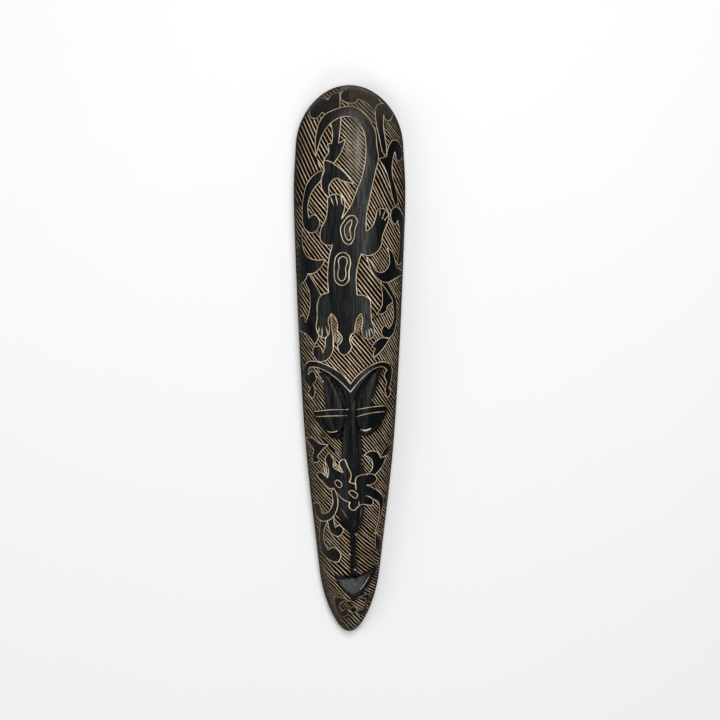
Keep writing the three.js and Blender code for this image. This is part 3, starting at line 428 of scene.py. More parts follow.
# Parts of the ground with straight hatching of their own: (outline, fall, pitch share, width share).
HATCH_ZONES = [
    (
        [
            (290, 112), (309, 112), (316, 119), (322, 113), (325, 116), (318, 124), (314, 140), (314.5, 157),
            (322, 169), (313, 173), (304, 186), (301, 205), (290, 205),
        ], 2.2, 1.6, 1.1,
    ),
    (
        [
            (330, 122), (332, 134), (331, 144), (328, 145), (328, 152), (323.3, 160.5), (315, 157),
            (316, 145), (321, 135),
        ], 1.8, 1.4, 1.0,
    ),
    (
        [
            (341, 116), (357, 120), (365, 133), (366, 153), (362.5, 175), (356, 192), (346, 184), (335, 165),
            (340, 140),
        ], 1.1, 0.84, 0.8,
    ),
    ([(310, 100), (316, 84), (340, 84), (339, 92), (328, 100)], 0.75, 0.76, 0.8),
    (
        [
            (341, 100), (357, 103), (358, 97), (368, 103), (375, 112), (377, 132), (370, 121), (362, 111),
            (352, 106), (341, 107),
        ], 1.0, 0.78, 0.8,
    ),
    (
        [
            (383, 112), (389, 104), (399, 112), (405, 150), (404, 176), (396, 152), (388, 142), (385, 127),
        ], 1.3, 0.64, 0.62,
    ),
    (
        [
            (356.5, 262), (366, 257), (371, 262), (376, 271), (381, 281), (381, 305), (377, 315), (373, 318),
            (369, 300), (357, 296),
        ], 1.28, 1.07, 1.05,
    ),
    (
        [
            (369, 256), (376, 252), (381, 246), (386, 247), (389.5, 256), (388.7, 266), (383, 272),
            (376, 270.5), (370, 261),
        ], 1.45, 0.8, 0.75,
    ),
    (
        [
            (355, 598), (364, 591), (370, 582), (374, 573), (377, 563), (384, 556), (380, 600), (366, 597),
        ], 0.5, 0.58, 0.72,
    ),
    ([(350, 598), (358, 597), (366, 600), (365, 607), (357, 608), (350, 604)], 0.6, 0.58, 0.66),
    ([(339, 602), (349, 600), (350, 607), (344, 609), (339, 606)], 1.1, 0.66, 0.55),
    (
        [
            (332, 613), (348, 616), (353, 611), (357, 613), (364, 611), (372, 600), (372, 633), (332, 633),
        ], 1.0, 0.8, 0.9,
    ),
    (
        [
            (330.5, 313), (334, 316), (337, 323), (336.6, 330), (341.5, 337), (340.6, 341.5), (337, 345),
            (333, 341), (331, 325),
        ], 1.2, 0.57, 0.6,
    ),
    ([(360.5, 313), (362.3, 319), (361.2, 330), (357, 336), (354.3, 331.5), (356, 319.5)], 1.2, 0.57, 0.6),
    ([(324, 431), (332, 437), (342, 439.5), (341, 456), (330, 447), (321, 438)], 1.0, 0.6, 0.5),
]

# Where the hatching stops inside the front's left and right edge, how far each stop may stray from that,
# and the shortest line that is cut, in millimetres.
SIDE_MARGINS = (13.0, 3.5)
STRAY_STOP = 3.0
SHORTEST_HATCH = 4.0

# How a hatch line is worked out, in millimetres: its steps, how far it runs past the edge at first, the
# distance between its points, its narrowing ends and the two waves of the carver's hand.
COURSE_STEP = 0.5
COURSE_OVERHANG = 2.0
HATCH_POINT_STEP = 2.4
HATCH_TAPER = 4.0
HAND_WAVES = (23.0, 61.0)

# The least and the most of a hatch line's width and paleness.
HATCH_WIDTH_RANGE = (0.86, 1.1)
HATCH_PALENESS_RANGE = (0.8, 1.0)

# The fall is read inside this share of the way to the edge, over a short stretch to both sides, and a
# line runs across by at least this share of what it runs down.
FALL_REACH = 0.93
FALL_STRETCH = 0.3
LEAST_ACROSS = 0.1

# Steps along a drawn line and along a zone's hatch line, in squares.
LINE_STEP = 1.2
ZONE_STEP = 0.35

# How far inside the front's edge a cut's middle and its two edges stay, in millimetres.
CUT_MARGIN = 2.2
CUT_EDGE_MARGIN = 0.8

# The front's mesh, in millimetres: points closer than the weld are one, the outline has a station at each
# rim step and so many round each end, and the face's creases have so many points.
WELD = 0.04
RIM_STEP = 2.8
CROWN_STATIONS = 44
CHIN_STATIONS = 36
EYE_POINTS = 40
NOSE_POINTS = 50
LIP_POINTS = 44

# Points between the cuts, on the ground and on the carved face: (spacing, distance from the cuts). They
# stand in a grid of even triangles, so the rows are closer together than the points.
ROW_SHARE = math.sqrt(0.75)
GROUND_GRID = (3.4, 2.6)
FACE_GRID = (1.7, 1.6)
LEAST_RELIEF = 0.05

# A point is as deep as the deepest of the nearest pieces of cuts. Where a cut's share or the front's
# height is less than this, it stays uncut. Edges steeper than the sharp angle show as edges.
NEAREST_PIECES = 8
LEAST_SHARE = 0.03
EDGE_HEIGHT = 0.02
SHARP_ANGLE = math.radians(32)

# The hollow is drawn in rings up to the spine, from an arc just inside its foot. Corners closer together
# than the seam's weld, in metres, become one along the spine.
HOLLOW_RINGS = 24
FOOT_ARC = 0.985
SEAM_WELD = 2e-5

# The scooping gouge's long scallops: their spacing and depth in millimetres, how far they reach and stray
# in spacings, how fast they fade in from the foot, and how many there are to each side of the middle.
GOUGE_ACROSS = 11.0
GOUGE_ALONG = 34.0
GOUGE_DEPTH = 1.5
GOUGE_REACH = 0.75
GOUGE_STRAY = 0.28
GOUGE_FADE = 6
GOUGES_ACROSS = 9
GOUGES_ALONG = 13

# Noise patterns of the finish: (scale, detail, roughness), the last only where it matters. The streaks'
# scale stands by itself. They are drawn out down the mask and sway a little, and the pores dent them.
STREAK_SCALE = 620.0
STREAK_NOISE = (4.0, 0.6)
STREAK_STRETCH = (1.0, 0.035, 1.0)
STREAK_SWAY = 0.006
SWAY_NOISE = (9.0, 2.0)
PORE_NOISE = (1500.0, 2.0)
PORE_STRETCH = (1.0, 0.09, 1.0)
PORE_DENT = 0.25
DUST_PATCHES = (14.0, 3.0)
DUST_SPECKS = (420.0, 3.0, 0.7)
SPECK_SHARE = 0.9
CUT_PATCHES = (90.0, 3.0)
CUT_PATCH_SHARE = 0.3
CUT_SPECKS = (800.0, 2.0)
CUT_SPECK_SHARE = 0.35
BARE_PATCHES = (55.0, 4.0, 0.6)

# Where a pattern or a cut's share starts to tell, and where it tells fully.
STREAK_RANGE = (0.36, 0.68)
PORE_RANGE = (0.58, 0.72)
DUST_RANGE = (0.55, 1.35)
SKIRT_RANGE = (0.46, 0.64)
OPENED_RANGE = (0.62, 0.9)
# Over this range of a painted highlight's paleness it turns to a painted white glint.
GLINT_RANGE = (1.02, 1.5)
BARE_RANGE = (0.34, 0.6)

# The same for places on the mask: metres up the face or over the back, or the share of the way from the
# middle to the edge, negative on the left.
LOW_PLACE = (0.02, -0.2)
CHIN_PLACE = (-0.3, -0.35)
CROWN_PLACE = (0.295, 0.35)
RIM_PLACE = (0.03, 0.006)
LOWER_FACE_PLACE = (-0.03, -0.1)
DUSTY_LEFT = (-0.45, -0.85)
CROWN_SIDES = (-0.1, 0.45)
RIM_SIDES = (-0.2, 0.2)
DULL_LEFT = (-0.3, -0.8)
DULL_RIGHT = (0.35, 0.72)

# Amounts of dust. The crown and the rim have one for their left and one for their right.
LOW_LEFT_DUST = 0.5
CHIN_DUST = 0.2
CROWN_DUST = (0.26, 0.68)
RIM_DUST = (0.45, 0.2)
BACK_DUST = 0.35

# Colours of the front. The streaks multiply the stain: the grain, and partly a painted sheen along it. The
# shares multiply the bare wood's colour.
STREAK_AND_SHEEN_BRIGHTNESS = 3.2
# The mouth's grey and its share: a painted sheen where the scooped mouth shines.
MOUTH_SHEEN_GREY = (0.024, 0.026, 0.025)
MOUTH_SHEEN_SHARE = 0.8
GROUND_STAIN = (0.0065, 0.0032, 0.0006)
GROUND_SHARE = 0.9
SKIRT_STAIN = (0.14, 0.088, 0.043)
WORN_BARE_SHARES = (0.62, 0.54, 0.44)
BARE_STREAK = (0.28, 0.19, 0.11)
BARE_STREAK_SHARE = 0.25
# The pale patches' hue, painted glare and dust, and how much the streaks change them.
DUST_AND_GLARE_HUE = (1.0, 0.92, 0.78)
DUST_AND_GLARE_STREAKS = (0.4, 1.3)
# The white of the painted glints.
GLINT_WHITE = (0.92, 0.92, 0.9)

# Colours of the back.
BACK_STAIN = (0.035, 0.022, 0.014)
BACK_STREAK = (0.12, 0.07, 0.04)
BACK_PORE = (0.01, 0.007, 0.005)
BACK_DUST_COLOUR = (0.3, 0.24, 0.17, 1.0)

# Roughness and polish between the streaks and in them, how much the ground adds, how much of the polish
# the lower face and the left side take away, and the grain's bump (strength, depth in metres).
FRONT_ROUGHNESS = (0.4, 0.6)
GROUND_ROUGHNESS = 0.3
BACK_ROUGHNESS = (0.62, 0.8)
POLISH = (0.25, 0.78)
POLISH_ROUGHNESS = 0.34
LOWER_FACE_DULL = 0.5
LEFT_DULL = 0.85
STAIN_SPECULAR = 0.02
FRONT_BUMP = (0.35, 0.0003)
BACK_BUMP = (0.5, 0.0004)

# The lamps: (name, place, size, power against the key light's), in metres.
LAMPS = [
    ("key", (0.1, 1.5, 1.9), (1.4, 0.8), 1.0),
    ("overhead_right", (0.65, 0.42, 2.0), (1.8, 0.5), 0.58),
    ("left", (-1.7, -0.2, 1.3), (1.2, 1.2), 0.42),
    ("foot", (0.2, -1.7, 1.5), (1.4, 0.8), 0.41),
]

# The camera's place over the mask and its sensor, and the floor: half its width, how far it lies under
# the rim, and its two tones.
CAMERA_X = 0.0144
CAMERA_Y = -0.0027
SENSOR_WIDTH = 36.0
FLOOR_REACH = 6.0
FLOOR_GAP = 0.0004
FLOOR_TONES = ((0.95, 0.95, 0.95), (0.97, 0.97, 0.97))
FLOOR_NOISE = (3.0, 2.0)
FLOOR_ROUGHNESS = 0.9
FLOOR_SPECULAR = 0.1


class CarvedMaskSettings(bpy.types.PropertyGroup):
    """Sizes and colours of the mask that a user would change."""

    rim_width: bpy.props.FloatProperty(
        name="Rim width", description="Width of the flat rim that the mask lies on",
        default=0.015, min=0.004, max=0.04, subtype="DISTANCE", unit="LENGTH",
    )
    wall: bpy.props.FloatProperty(
        name="Wall", description="Thickness of the wood at the crest",
        default=0.019, min=0.006, max=0.04, subtype="DISTANCE", unit="LENGTH",
    )
    hatch_pitch: bpy.props.FloatProperty(
        name="Hatch pitch", description="Distance from one hatch line to the next, down the lizard",
        default=0.0072, min=0.003, max=0.02, subtype="DISTANCE", unit="LENGTH",
    )
    hatch_width: bpy.props.FloatProperty(
        name="Hatch width", description="Width of a hatch line's V at the surface",
        default=0.0019, min=0.0005, max=0.005, subtype="DISTANCE", unit="LENGTH",
    )
    hatch_depth: bpy.props.FloatProperty(
        name="Hatch depth", description="Depth of a hatch line",
        default=0.0010, min=0.0002, max=0.003, subtype="DISTANCE", unit="LENGTH",
    )
    outline_width: bpy.props.FloatProperty(
        name="Outline width", description="Width of the line round every figure",
        default=0.0015, min=0.0005, max=0.005, subtype="DISTANCE", unit="LENGTH",
    )
    outline_depth: bpy.props.FloatProperty(
        name="Outline depth", description="Depth of the line round every figure",
        default=0.0010, min=0.0002, max=0.003, subtype="DISTANCE", unit="LENGTH",
    )
    fine_width: bpy.props.FloatProperty(
        name="Fine cut width", description="Width of the single cuts at the heads and in the rings",
        default=0.0013, min=0.0004, max=0.004, subtype="DISTANCE", unit="LENGTH",
    )
    unevenness: bpy.props.FloatProperty(
        name="Unevenness", description="How far the hand-cut hatch lines stray",
        default=0.0004, min=0.0, max=0.002, subtype="DISTANCE", unit="LENGTH",
    )
    stain: bpy.props.FloatVectorProperty(
        name="Stain", description="Blue-black stain on what stands proud",
        default=(0.0022, 0.0025, 0.0028), size=3, min=0.0, max=1.0, subtype="COLOR",
    )
    bare_wood: bpy.props.FloatVectorProperty(
        name="Bare wood", description="Pale wood that the cuts open up",
        default=(0.87, 0.765, 0.61), size=3, min=0.0, max=1.0, subtype="COLOR",
    )
    dust: bpy.props.FloatVectorProperty(
        name="Dust", description="Grey-brown dust on the crown and the lower left side",
        default=(0.085, 0.07, 0.052), size=3, min=0.0, max=1.0, subtype="COLOR",
    )


class MaskStageSettings(bpy.types.PropertyGroup):
    """Camera, light and floor."""

    camera_height: bpy.props.FloatProperty(
        name="Camera height", description="Height of the camera over the floor",
        default=30.0, min=1.0, max=60.0, subtype="DISTANCE", unit="LENGTH",
    )
    frame_width: bpy.props.FloatProperty(
        name="Frame width", description="Width of the floor that the picture shows",
        default=0.989, min=0.5, max=3.0, subtype="DISTANCE", unit="LENGTH",
    )
    key_power: bpy.props.FloatProperty(
        name="Key light", description="Power of the large soft light beyond the head; the others follow it",
        default=24.0, min=0.0, max=500.0, subtype="POWER", unit="POWER",
    )
    sky: bpy.props.FloatProperty(
        name="Sky", description="Strength of the even light from all round",
        default=0.2, min=0.0, max=3.0,
    )


# Curves and the plan of the block.
def between(stations, at):
    """A smooth curve through (place, value) stations."""
    places, values = np.array(stations, float).T
    last = len(places) - 1
    before = np.maximum(np.arange(last + 1) - 1, 0)
    after = np.minimum(np.arange(last + 1) + 1, last)
    slopes = (values[after] - values[before]) / (places[after] - places[before])
    i = np.clip(np.searchsorted(places, at) - 1, 0, last - 1)
    span = places[i + 1] - places[i]
    t = np.clip((at - places[i]) / span, 0, 1)
    start, end = slopes[i] * span, slopes[i + 1] * span
    rise = values[i + 1] - values[i]
    bend = start + end - 2 * rise
    return values[i] + t * (start + t * (rise - start - bend + t * bend))


def round_end(share):
    """1 in the straight part, and a quarter circle's height over the last stretch."""
    return np.where(share >= 1, 1, np.sqrt(np.clip(1 - (1 - share) ** 2, 0, None)))


def half_width(down):
    """Half the width of the mask at a distance down from the top of the head."""
    straight = between(HALF_WIDTHS, down / SQUARE_Y) * SQUARE_X
    return straight * round_end(down / TOP_CAP) * round_end((LENGTH - down) / CHIN_CAP)


def crest(down):
    """Height of the dome over the spine."""
    return between(CREST, down / SQUARE_Y) * CROWN_HEIGHT


def spine(down):
    """The nearest place of the spine, which runs from one rounded end to the other."""
    return np.clip(down, TOP_CAP, LENGTH - CHIN_CAP)


def reach_toward(x, down):
    """Distance from the spine to the outline, along the line from the spine through a point."""
    middle = spine(down)
    offset = down - middle
    cap = np.where(offset < 0, TOP_CAP, CHIN_CAP)
    wanted = np.arctan2(np.abs(x), np.abs(offset))
    low, high = np.zeros_like(wanted), np.full_like(wanted, math.pi / 2)
    for _ in range(HALVINGS):
        turn = (low + high) / 2
        away = cap * np.cos(turn)
        half = half_width(middle + np.sign(offset) * away)
        short = np.arctan2(half, away) < wanted
        low, high = np.where(short, turn, low), np.where(short, high, turn)
    return np.where(offset == 0, half_width(down), np.hypot(half, away))


def arc_to(share):
    """Share of the section's arc from the spine to a share of the half width."""
    return np.arcsin(np.minimum(share, 1) ** (SECTION_POWER / 2)) / (math.pi / 2)


def arc_back(arc):
    """Share of the half width at a share of the section's arc."""
    return np.sin(np.minimum(arc, 1) * math.pi / 2) ** (2 / SECTION_POWER)


def height_share(share):
    """Height of the section against its crest, at a share of the half width."""
    return np.clip(1 - np.minimum(share, 1) ** SECTION_POWER, 0, None) ** (1 / SECTION_POWER)


def drawn(points):
    """Drawn columns and rows as x and the distance down from the top of the head, in millimetres."""
    points = np.atleast_2d(np.array([point[:2] for point in points], float))
    return np.column_stack([
        (points[:, 0] - MIDDLE_COLUMN) * SQUARE_X, (points[:, 1] - TOP_ROW) * SQUARE_Y,
    ])


def to_flat(plan):
    """Plan points on the front laid out flat: the same lines from the spine, as long as the arc."""
    x, down = plan.T
    middle = spine(down)
    share = np.maximum(np.hypot(x, down - middle) / reach_toward(x, down), NOTHING)
    stretch = UNROLL * arc_to(share) / share
    return np.column_stack([x * stretch, middle + (down - middle) * stretch])


def from_flat(flat):
    """Plan points x and down, with each point's share of the way to the outline."""
    x, down = flat.T
    middle = spine(down)
    reach = reach_toward(x, down)
    away = np.maximum(np.hypot(x, down - middle), NOTHING)
    share = arc_back(away / (UNROLL * reach))
    shrink = share * reach / away
    return np.column_stack([x * shrink, middle + (down - middle) * shrink]), share


# The face.
def leaf_power(along):
    return along ** LEAF_TIP_POWER * (1 - along) ** LEAF_END_POWER


def leaf_shape(along):
    """Half the width of a leaf against its widest, from 0 at the tip to 1 at the end."""
    widest = LEAF_TIP_POWER / (LEAF_TIP_POWER + LEAF_END_POWER)
    return leaf_power(np.clip(along, 0, 1)) / leaf_power(widest)


def leaf_axes(leaf):
    """Tip, direction, length and half width of a leaf, in millimetres."""
    tip, end = drawn([leaf["tip"], leaf["end"]])
    length = np.hypot(*(end - tip))
    return tip, (end - tip) / length, length, leaf["half"] * SQUARE_X


def leaf_edge(leaf, side):
    """One long edge of a leaf, from the tip to the round end, in the plan."""
    tip, axis, length, half = leaf_axes(leaf)
    along = (1 - np.cos(np.linspace(0, math.pi, EYE_POINTS))) / 2
    across = side * half * leaf_shape(along)
    return tip + np.outer(along * length, axis) + np.outer(across, [axis[1], -axis[0]])


def leaf_place(leaf, x, down):
    """How far along a leaf points lie, and how far across against its edge there."""
    tip, axis, length, half = leaf_axes(leaf)
    along = ((x - tip[0]) * axis[0] + (down - tip[1]) * axis[1]) / length
    side = (x - tip[0]) * axis[1] - (down - tip[1]) * axis[0]
    return along, side / np.maximum(half * leaf_shape(along), NOTHING)


def socket_of(eye):
    """The hollow round an eye: its leaf, wider and shifted towards the nose and the cheek."""
    inward = math.copysign(SOCKET_SPREAD / 2, MIDDLE_COLUMN - eye["tip"][0])
    tip = (eye["tip"][0] + inward, eye["tip"][1] - SOCKET_SPREAD / 2)
    end = (eye["end"][0] + inward, eye["end"][1] + SOCKET_SPREAD)
    return {"tip": tip, "end": end, "half": eye["half"] + SOCKET_SPREAD / 2}


def bulge(across):
    """Height of a round swelling, 1 in the middle and 0 at both edges."""
    return np.sqrt(np.clip(1 - across ** 2, 0, None))


def nose_half(along):
    grown = NOSE["half_top"] + (NOSE["half_tip"] - NOSE["half_top"]) * np.minimum(along / NOSE["full_at"], 1)
    return grown * SQUARE_X * round_end((1 - along) / (1 - NOSE["full_at"]))


def nose_edge(side):
    """One side of the nose, from the bridge to the tip, in the plan."""
    top, tip = drawn([NOSE["top"], NOSE["tip"]])
    along = np.sin(np.linspace(0, math.pi / 2, NOSE_POINTS))
    line = top + np.outer(along, tip - top)
    line[:, 0] += side * nose_half(along)
    return line


def nose_place(x, down):
    """How far down the nose points lie, and how far across against its edge there."""
    top, tip = drawn([NOSE["top"], NOSE["tip"]])
    along = (down - top[1]) / (tip[1] - top[1])
    middle = top[0] + (tip[0] - top[0]) * along
    return along, (x - middle) / np.maximum(nose_half(np.clip(along, 0, 1)), NOTHING)


def lip_sag(across, power):
    """How far a lip hangs, 1 in the middle of the mouth and 0 at its corners."""
    return 1 - np.abs(2 * across - 1) ** power


def mouth_edges(across):
    """x of places across the mouth, and how far down its upper and lower lip are there."""
    left, right = drawn([MOUTH["left"], MOUTH["right"]])
    chord = left[1] + (right[1] - left[1]) * across
    upper = chord + MOUTH["dip"] * SQUARE_Y * lip_sag(across, UPPER_LIP_POWER)
    lower = chord + MOUTH["sag"] * SQUARE_Y * lip_sag(across, LOWER_LIP_POWER)
    return left[0] + (right[0] - left[0]) * across, upper, lower


def mouth_place(x, down):
    """0 at the lower lip and 1 at the upper lip, between the mouth's corners."""
    left, right = drawn([MOUTH["left"], MOUTH["right"]])
    _, upper, lower = mouth_edges(np.clip((x - left[0]) / (right[0] - left[0]), 0, 1))
    return (lower - down) / np.maximum(lower - upper, NOTHING)


def relief(x, down):
    """The carved face against the plain dome."""
    level = np.zeros_like(x)
    for eye in EYES:
        along, across = leaf_place(socket_of(eye), x, down)
        sunk = -SOCKET_DEPTH * np.sqrt(leaf_shape(along)) * bulge(across)
        level = np.minimum(level, sunk)
    for eye in EYES:
        along, across = leaf_place(eye, x, down)
        inside = (along > 0) & (along < 1) & (np.abs(across) < 1)
        lid = leaf_shape(along) * (LID_RISE * bulge(across) - SOCKET_DEPTH)
        level = np.where(inside, np.maximum(level, lid), level)
    along, across = nose_place(x, down)
    inside = (along > 0) & (along < 1) & (np.abs(across) < 1)
    beside = np.where(across > NOSE["ridge"], 1 - NOSE["ridge"], 1 + NOSE["ridge"])
    lean = np.minimum(np.abs(across - NOSE["ridge"]) / beside, 1)
    ridge = NOSE_RISE * np.minimum(along / NOSE["full_at"], 1) * (1 - lean ** NOSE_POWER)
    ridge = ridge * round_end((1 - along) / (1 - NOSE["full_at"]))
    level = np.where(inside, np.maximum(level, ridge), level)
    left, right = drawn([MOUTH["left"], MOUTH["right"]])
    across = np.clip((x - left[0]) / (right[0] - left[0]), 0, 1)
    to_upper = mouth_place(x, down)
    cut = -MOUTH_DEPTH * to_upper * np.sqrt(lip_sag(across, SCOOP_POWER))
    return np.where((to_upper > 0) & (to_upper < 1), np.minimum(level, cut), level)


# Drawn lines.
def span_tangents(points, i, closed):
    """Tangents at the ends of one span of a centripetal curve; corners and ends stay sharp."""
    count = len(points)

    def at(k):
        return points[k % count] if closed else points[min(max(k, 0), count - 1)]

    def gap(a, b):
        return math.sqrt(max(math.dist(a[:2], b[:2]), NOTHING))

    p0, p1, p2, p3 = at(i - 1), at(i), at(i + 1), at(i + 2)
    reach = gap(p1, p2)

    def through(a, b, c):
        before, after = gap(a, b), gap(b, c)
        return np.array([
            ((b[k] - a[k]) / before - (c[k] - a[k]) / (before + after) + (c[k] - b[k]) / after) * reach
            for k in (0, 1)
        ])

    chord = np.array([p2[0] - p1[0], p2[1] - p1[1]])
    start = None if len(p1) > 2 or (not closed and i == 0) else through(p0, p1, p2)
    end = None if len(p2) > 2 or (not closed and i == count - 2) else through(p1, p2, p3)
    if start is None and end is None:
        return chord, chord
    if start is None:
        start = 1.5 * chord - 0.5 * end
    if end is None:
        end = 1.5 * chord - 0.5 * start
    return start, end


def span_points(p1, p2, tangents):
    """Points of one span of a drawn line, without its last."""
    start, end = tangents
    rise = np.array(p2[:2]) - np.array(p1[:2])
    bend = start + end - 2 * rise
    count = max(2, math.ceil(np.hypot(*rise) / LINE_STEP))
    t = (np.arange(count) / count)[:, None]
    return np.array(p1[:2]) + t * (start + t * (rise - start - bend + t * bend))


def stretch_is_cut(points, i):
    """False where the last corner before point i leaves the line to a neighbour."""
    for back in range(len(points)):
        point = points[i - back]
        if len(point) > 2:
            return point[2] == 1
    return True


def smooth_line(points, closed):
    """The whole line in drawn squares, and for each of its points whether it is cut from there on."""
    spans = len(points) if closed else len(points) - 1
    pieces, cuts = [], []
    for i in range(spans):
        piece = span_points(points[i], points[(i + 1) % len(points)], span_tangents(points, i, closed))
        pieces.append(piece)
        cuts.extend([not closed or stretch_is_cut(points, i)] * len(piece))
    if not closed:
        pieces.append(np.array([points[-1][:2]], float))
        cuts.append(False)
    return np.concatenate(pieces), np.array(cuts)


def flat_line(points, closed):
    """A drawn line as a smooth line on the flat front."""
    return to_flat(drawn(smooth_line(points, closed)[0]))


def cut_runs(line, cuts):
    """(line, closed) for each stretch of a closed line that is cut here."""
    if cuts.all():
        return [(line, True)]
    start = int(np.flatnonzero(~cuts)[0])
    line, cuts = np.roll(line, -start, 0), np.roll(cuts, -start)
    runs, run = [], []
    for point, cut in zip(line, cuts):
        if cut or run:
            run.append(point)
        if not cut and run:
            runs.append((np.array(run), False))
            run = []
    if run:
        runs.append((np.array([*run, line[0]]), False))
    return runs


def inside_line(points, line):
    """Which points lie inside a closed line."""
    inside = np.zeros(len(points), bool)
    near = np.flatnonzero(((points >= line.min(0)) & (points <= line.max(0))).all(1))
    x, y = points[near].T
    hit = np.zeros(len(near), bool)
    for (x1, y1), (x2, y2) in zip(line, np.roll(line, -1, 0)):
        if y1 != y2:
            hit ^= ((y1 > y) != (y2 > y)) & (x < (x2 - x1) * (y - y1) / (y2 - y1) + x1)
    inside[near] = hit
    return inside


# Gouge strokes: flat lines with the half width and the depth of their V.
def stroke(line, closed, width, depth, taper=0.0, pale=1.0):
    """A gouge line; taper is the length over which an open line's ends narrow, in millimetres."""
    half = np.full(len(line), width / 2)
    if taper and not closed:
        steps = np.hypot(*np.diff(line, axis=0).T)
        run = np.concatenate([[0], np.cumsum(steps)])
        ends = np.minimum(run, run[-1] - run) / taper
        half *= TIP_WIDTH + (1 - TIP_WIDTH) * np.clip(ends, 0, 1)
    line = drawn_in(line, CUT_MARGIN)
    deep = depth * half / (width / 2)
    return {"line": line, "closed": closed, "half": half, "depth": deep, "pale": np.full(len(line), pale)}


def figure_strokes(settings):
    """The outlines, and the flat closed lines of the figures that they bound."""
    strokes, plateaus = [], []
    width = settings.outline_width / MM
    depth = settings.outline_depth / MM
    fine = settings.fine_width / MM
    for points in FIGURES + RINGS:
        line, cuts = smooth_line(points, True)
        flat = to_flat(drawn(line))
        plateaus.append(flat)
        pale = FAINT_PALENESS if points in FAINT_FIGURES else 1.0
        strokes += [stroke(run, closed, width, depth, pale=pale) for run, closed in cut_runs(flat, cuts)]
    for points in INNER_RINGS:
        strokes.append(stroke(flat_line(points, True), True, fine, depth * INNER_RING_DEPTH))
    open_cuts = [(points, width, LASH_DEPTH, LASH_TAPER, 1.0) for points in LASHES]
    for cuts, wide in ((TOE_CUTS, width * TOE_CUT_WIDTH), (HEAD_CUTS + SMALL_CUTS, fine)):
        open_cuts += [(points, wide, SINGLE_CUT_DEPTH, SINGLE_CUT_TAPER, 1.0) for points in cuts]
    # The painted highlights and glints, as shallow cuts whose paleness paints the light.
    for points, pale, wide in HIGHLIGHT_CUTS:
        open_cuts.append((points, wide, HIGHLIGHT_CUT_DEPTH, HIGHLIGHT_CUT_TAPER, pale))
    for points, wide, deep, taper, pale in open_cuts:
        strokes.append(stroke(flat_line(points, False), False, wide, depth * deep, taper, pale))
    return strokes, plateaus


def hatch_fall(flat):
    """How steeply the hatching runs down to the right at flat points, on the flat front."""
    plan, share = from_flat(flat)
    middle = spine(plan[:, 1])
    inner = np.minimum(FALL_REACH / np.maximum(share, NOTHING), 1)
    plan = np.column_stack([plan[:, 0] * inner, middle + (plan[:, 1] - middle) * inner])
    columns, rows = MIDDLE_COLUMN + plan[:, 0] / SQUARE_X, TOP_ROW + plan[:, 1] / SQUARE_Y
    table = np.array(HATCH_FIELD)
    falls = np.array([np.interp(rows, table[:, 0], table[:, 2 + k]) for k in range(len(HATCH_COLUMNS))])
    place = np.interp(columns, HATCH_COLUMNS, np.arange(len(HATCH_COLUMNS)))
    before = np.minimum(place.astype(int), len(HATCH_COLUMNS) - 2)
    each = np.arange(len(flat))
    fall = falls[before, each] + (place - before) * (falls[before + 1, each] - falls[before, each])
    ahead = np.column_stack([np.ones(len(plan)), fall]) / np.hypot(1, fall)[:, None] * FALL_STRETCH
    change = to_flat(plan + ahead) - to_flat(plan - ahead)
    return change[:, 1] / np.maximum(change[:, 0], LEAST_ACROSS * np.abs(change[:, 1]))


def pitch_share(down):
    """The general hatching's pitch against the pitch over the large lizard."""
    table = np.array(HATCH_FIELD)
    return np.interp(TOP_ROW + down / SQUARE_Y, table[:, 0], table[:, 1])


def hatch_courses(settings, random):
    """Every hatch line over the whole flat front, before it is cut short: rows of flat points."""
    edge = UNROLL * WIDTH / 2 + COURSE_OVERHANG
    starts = [-2 * edge]
    while starts[-1] < LENGTH + 2 * edge:
        starts.append(starts[-1] + settings.hatch_pitch / MM * pitch_share(starts[-1]))
    starts = np.array(starts) + random.uniform(-1, 1, len(starts)) * settings.unevenness / MM
    count = math.ceil(edge / COURSE_STEP)
    halves = []
    for way in (-1, 1):
        down = starts.copy()
        half = []
        for i in range(count):
            x = np.full(len(starts), way * i * COURSE_STEP)
            half.append(np.column_stack([x, down]))
            down = down + way * COURSE_STEP * hatch_fall(half[-1])
        halves.append(half)
    courses = np.array(halves[0][:0:-1] + halves[1]).transpose(1, 0, 2)
    phase = random.uniform(0, 2 * math.pi, (len(starts), 2))
    for k, length in enumerate(HAND_WAVES):
        wave = np.sin(courses[:, :, 0] / length * 2 * math.pi + phase[:, k, None])
        courses[:, :, 1] += wave * settings.unevenness / MM
    return courses


def zone_courses(area, fall, pitch, settings, random):
    """Straight hatch lines in the drawing over one part of the ground, as rows of flat points."""
    area = np.array(area, float)
    (left, top), (right, bottom) = area.min(0), area.max(0)
    columns = np.arange(left, right, ZONE_STEP)
    starts = np.arange(top - fall * (right - left), bottom, pitch * settings.hatch_pitch / MM / SQUARE_Y)
    starts += random.uniform(-1, 1, len(starts)) * settings.unevenness / MM / SQUARE_Y
    rows = starts[:, None] + fall * (columns - left)
    points = np.column_stack([np.tile(columns, len(starts)), rows.ravel()])
    return to_flat(drawn(points)).reshape(len(starts), len(columns), 2)


def on_front(flat, margin):
    """Which flat points lie on the front, at least a margin inside its edge."""
    x, down = flat.T
    away = np.hypot(x, down - spine(down))
    return away < UNROLL * reach_toward(x, down) - margin


def drawn_in(flat, margin):
    """The same flat points, those too near the front's edge drawn in towards the spine."""
    x, down = flat.T
    middle = spine(down)
    away = np.maximum(np.hypot(x, down - middle), NOTHING)
    pull = np.minimum((UNROLL * reach_toward(x, down) - margin) / away, 1)
    return np.column_stack([x * pull, middle + (down - middle) * pull])


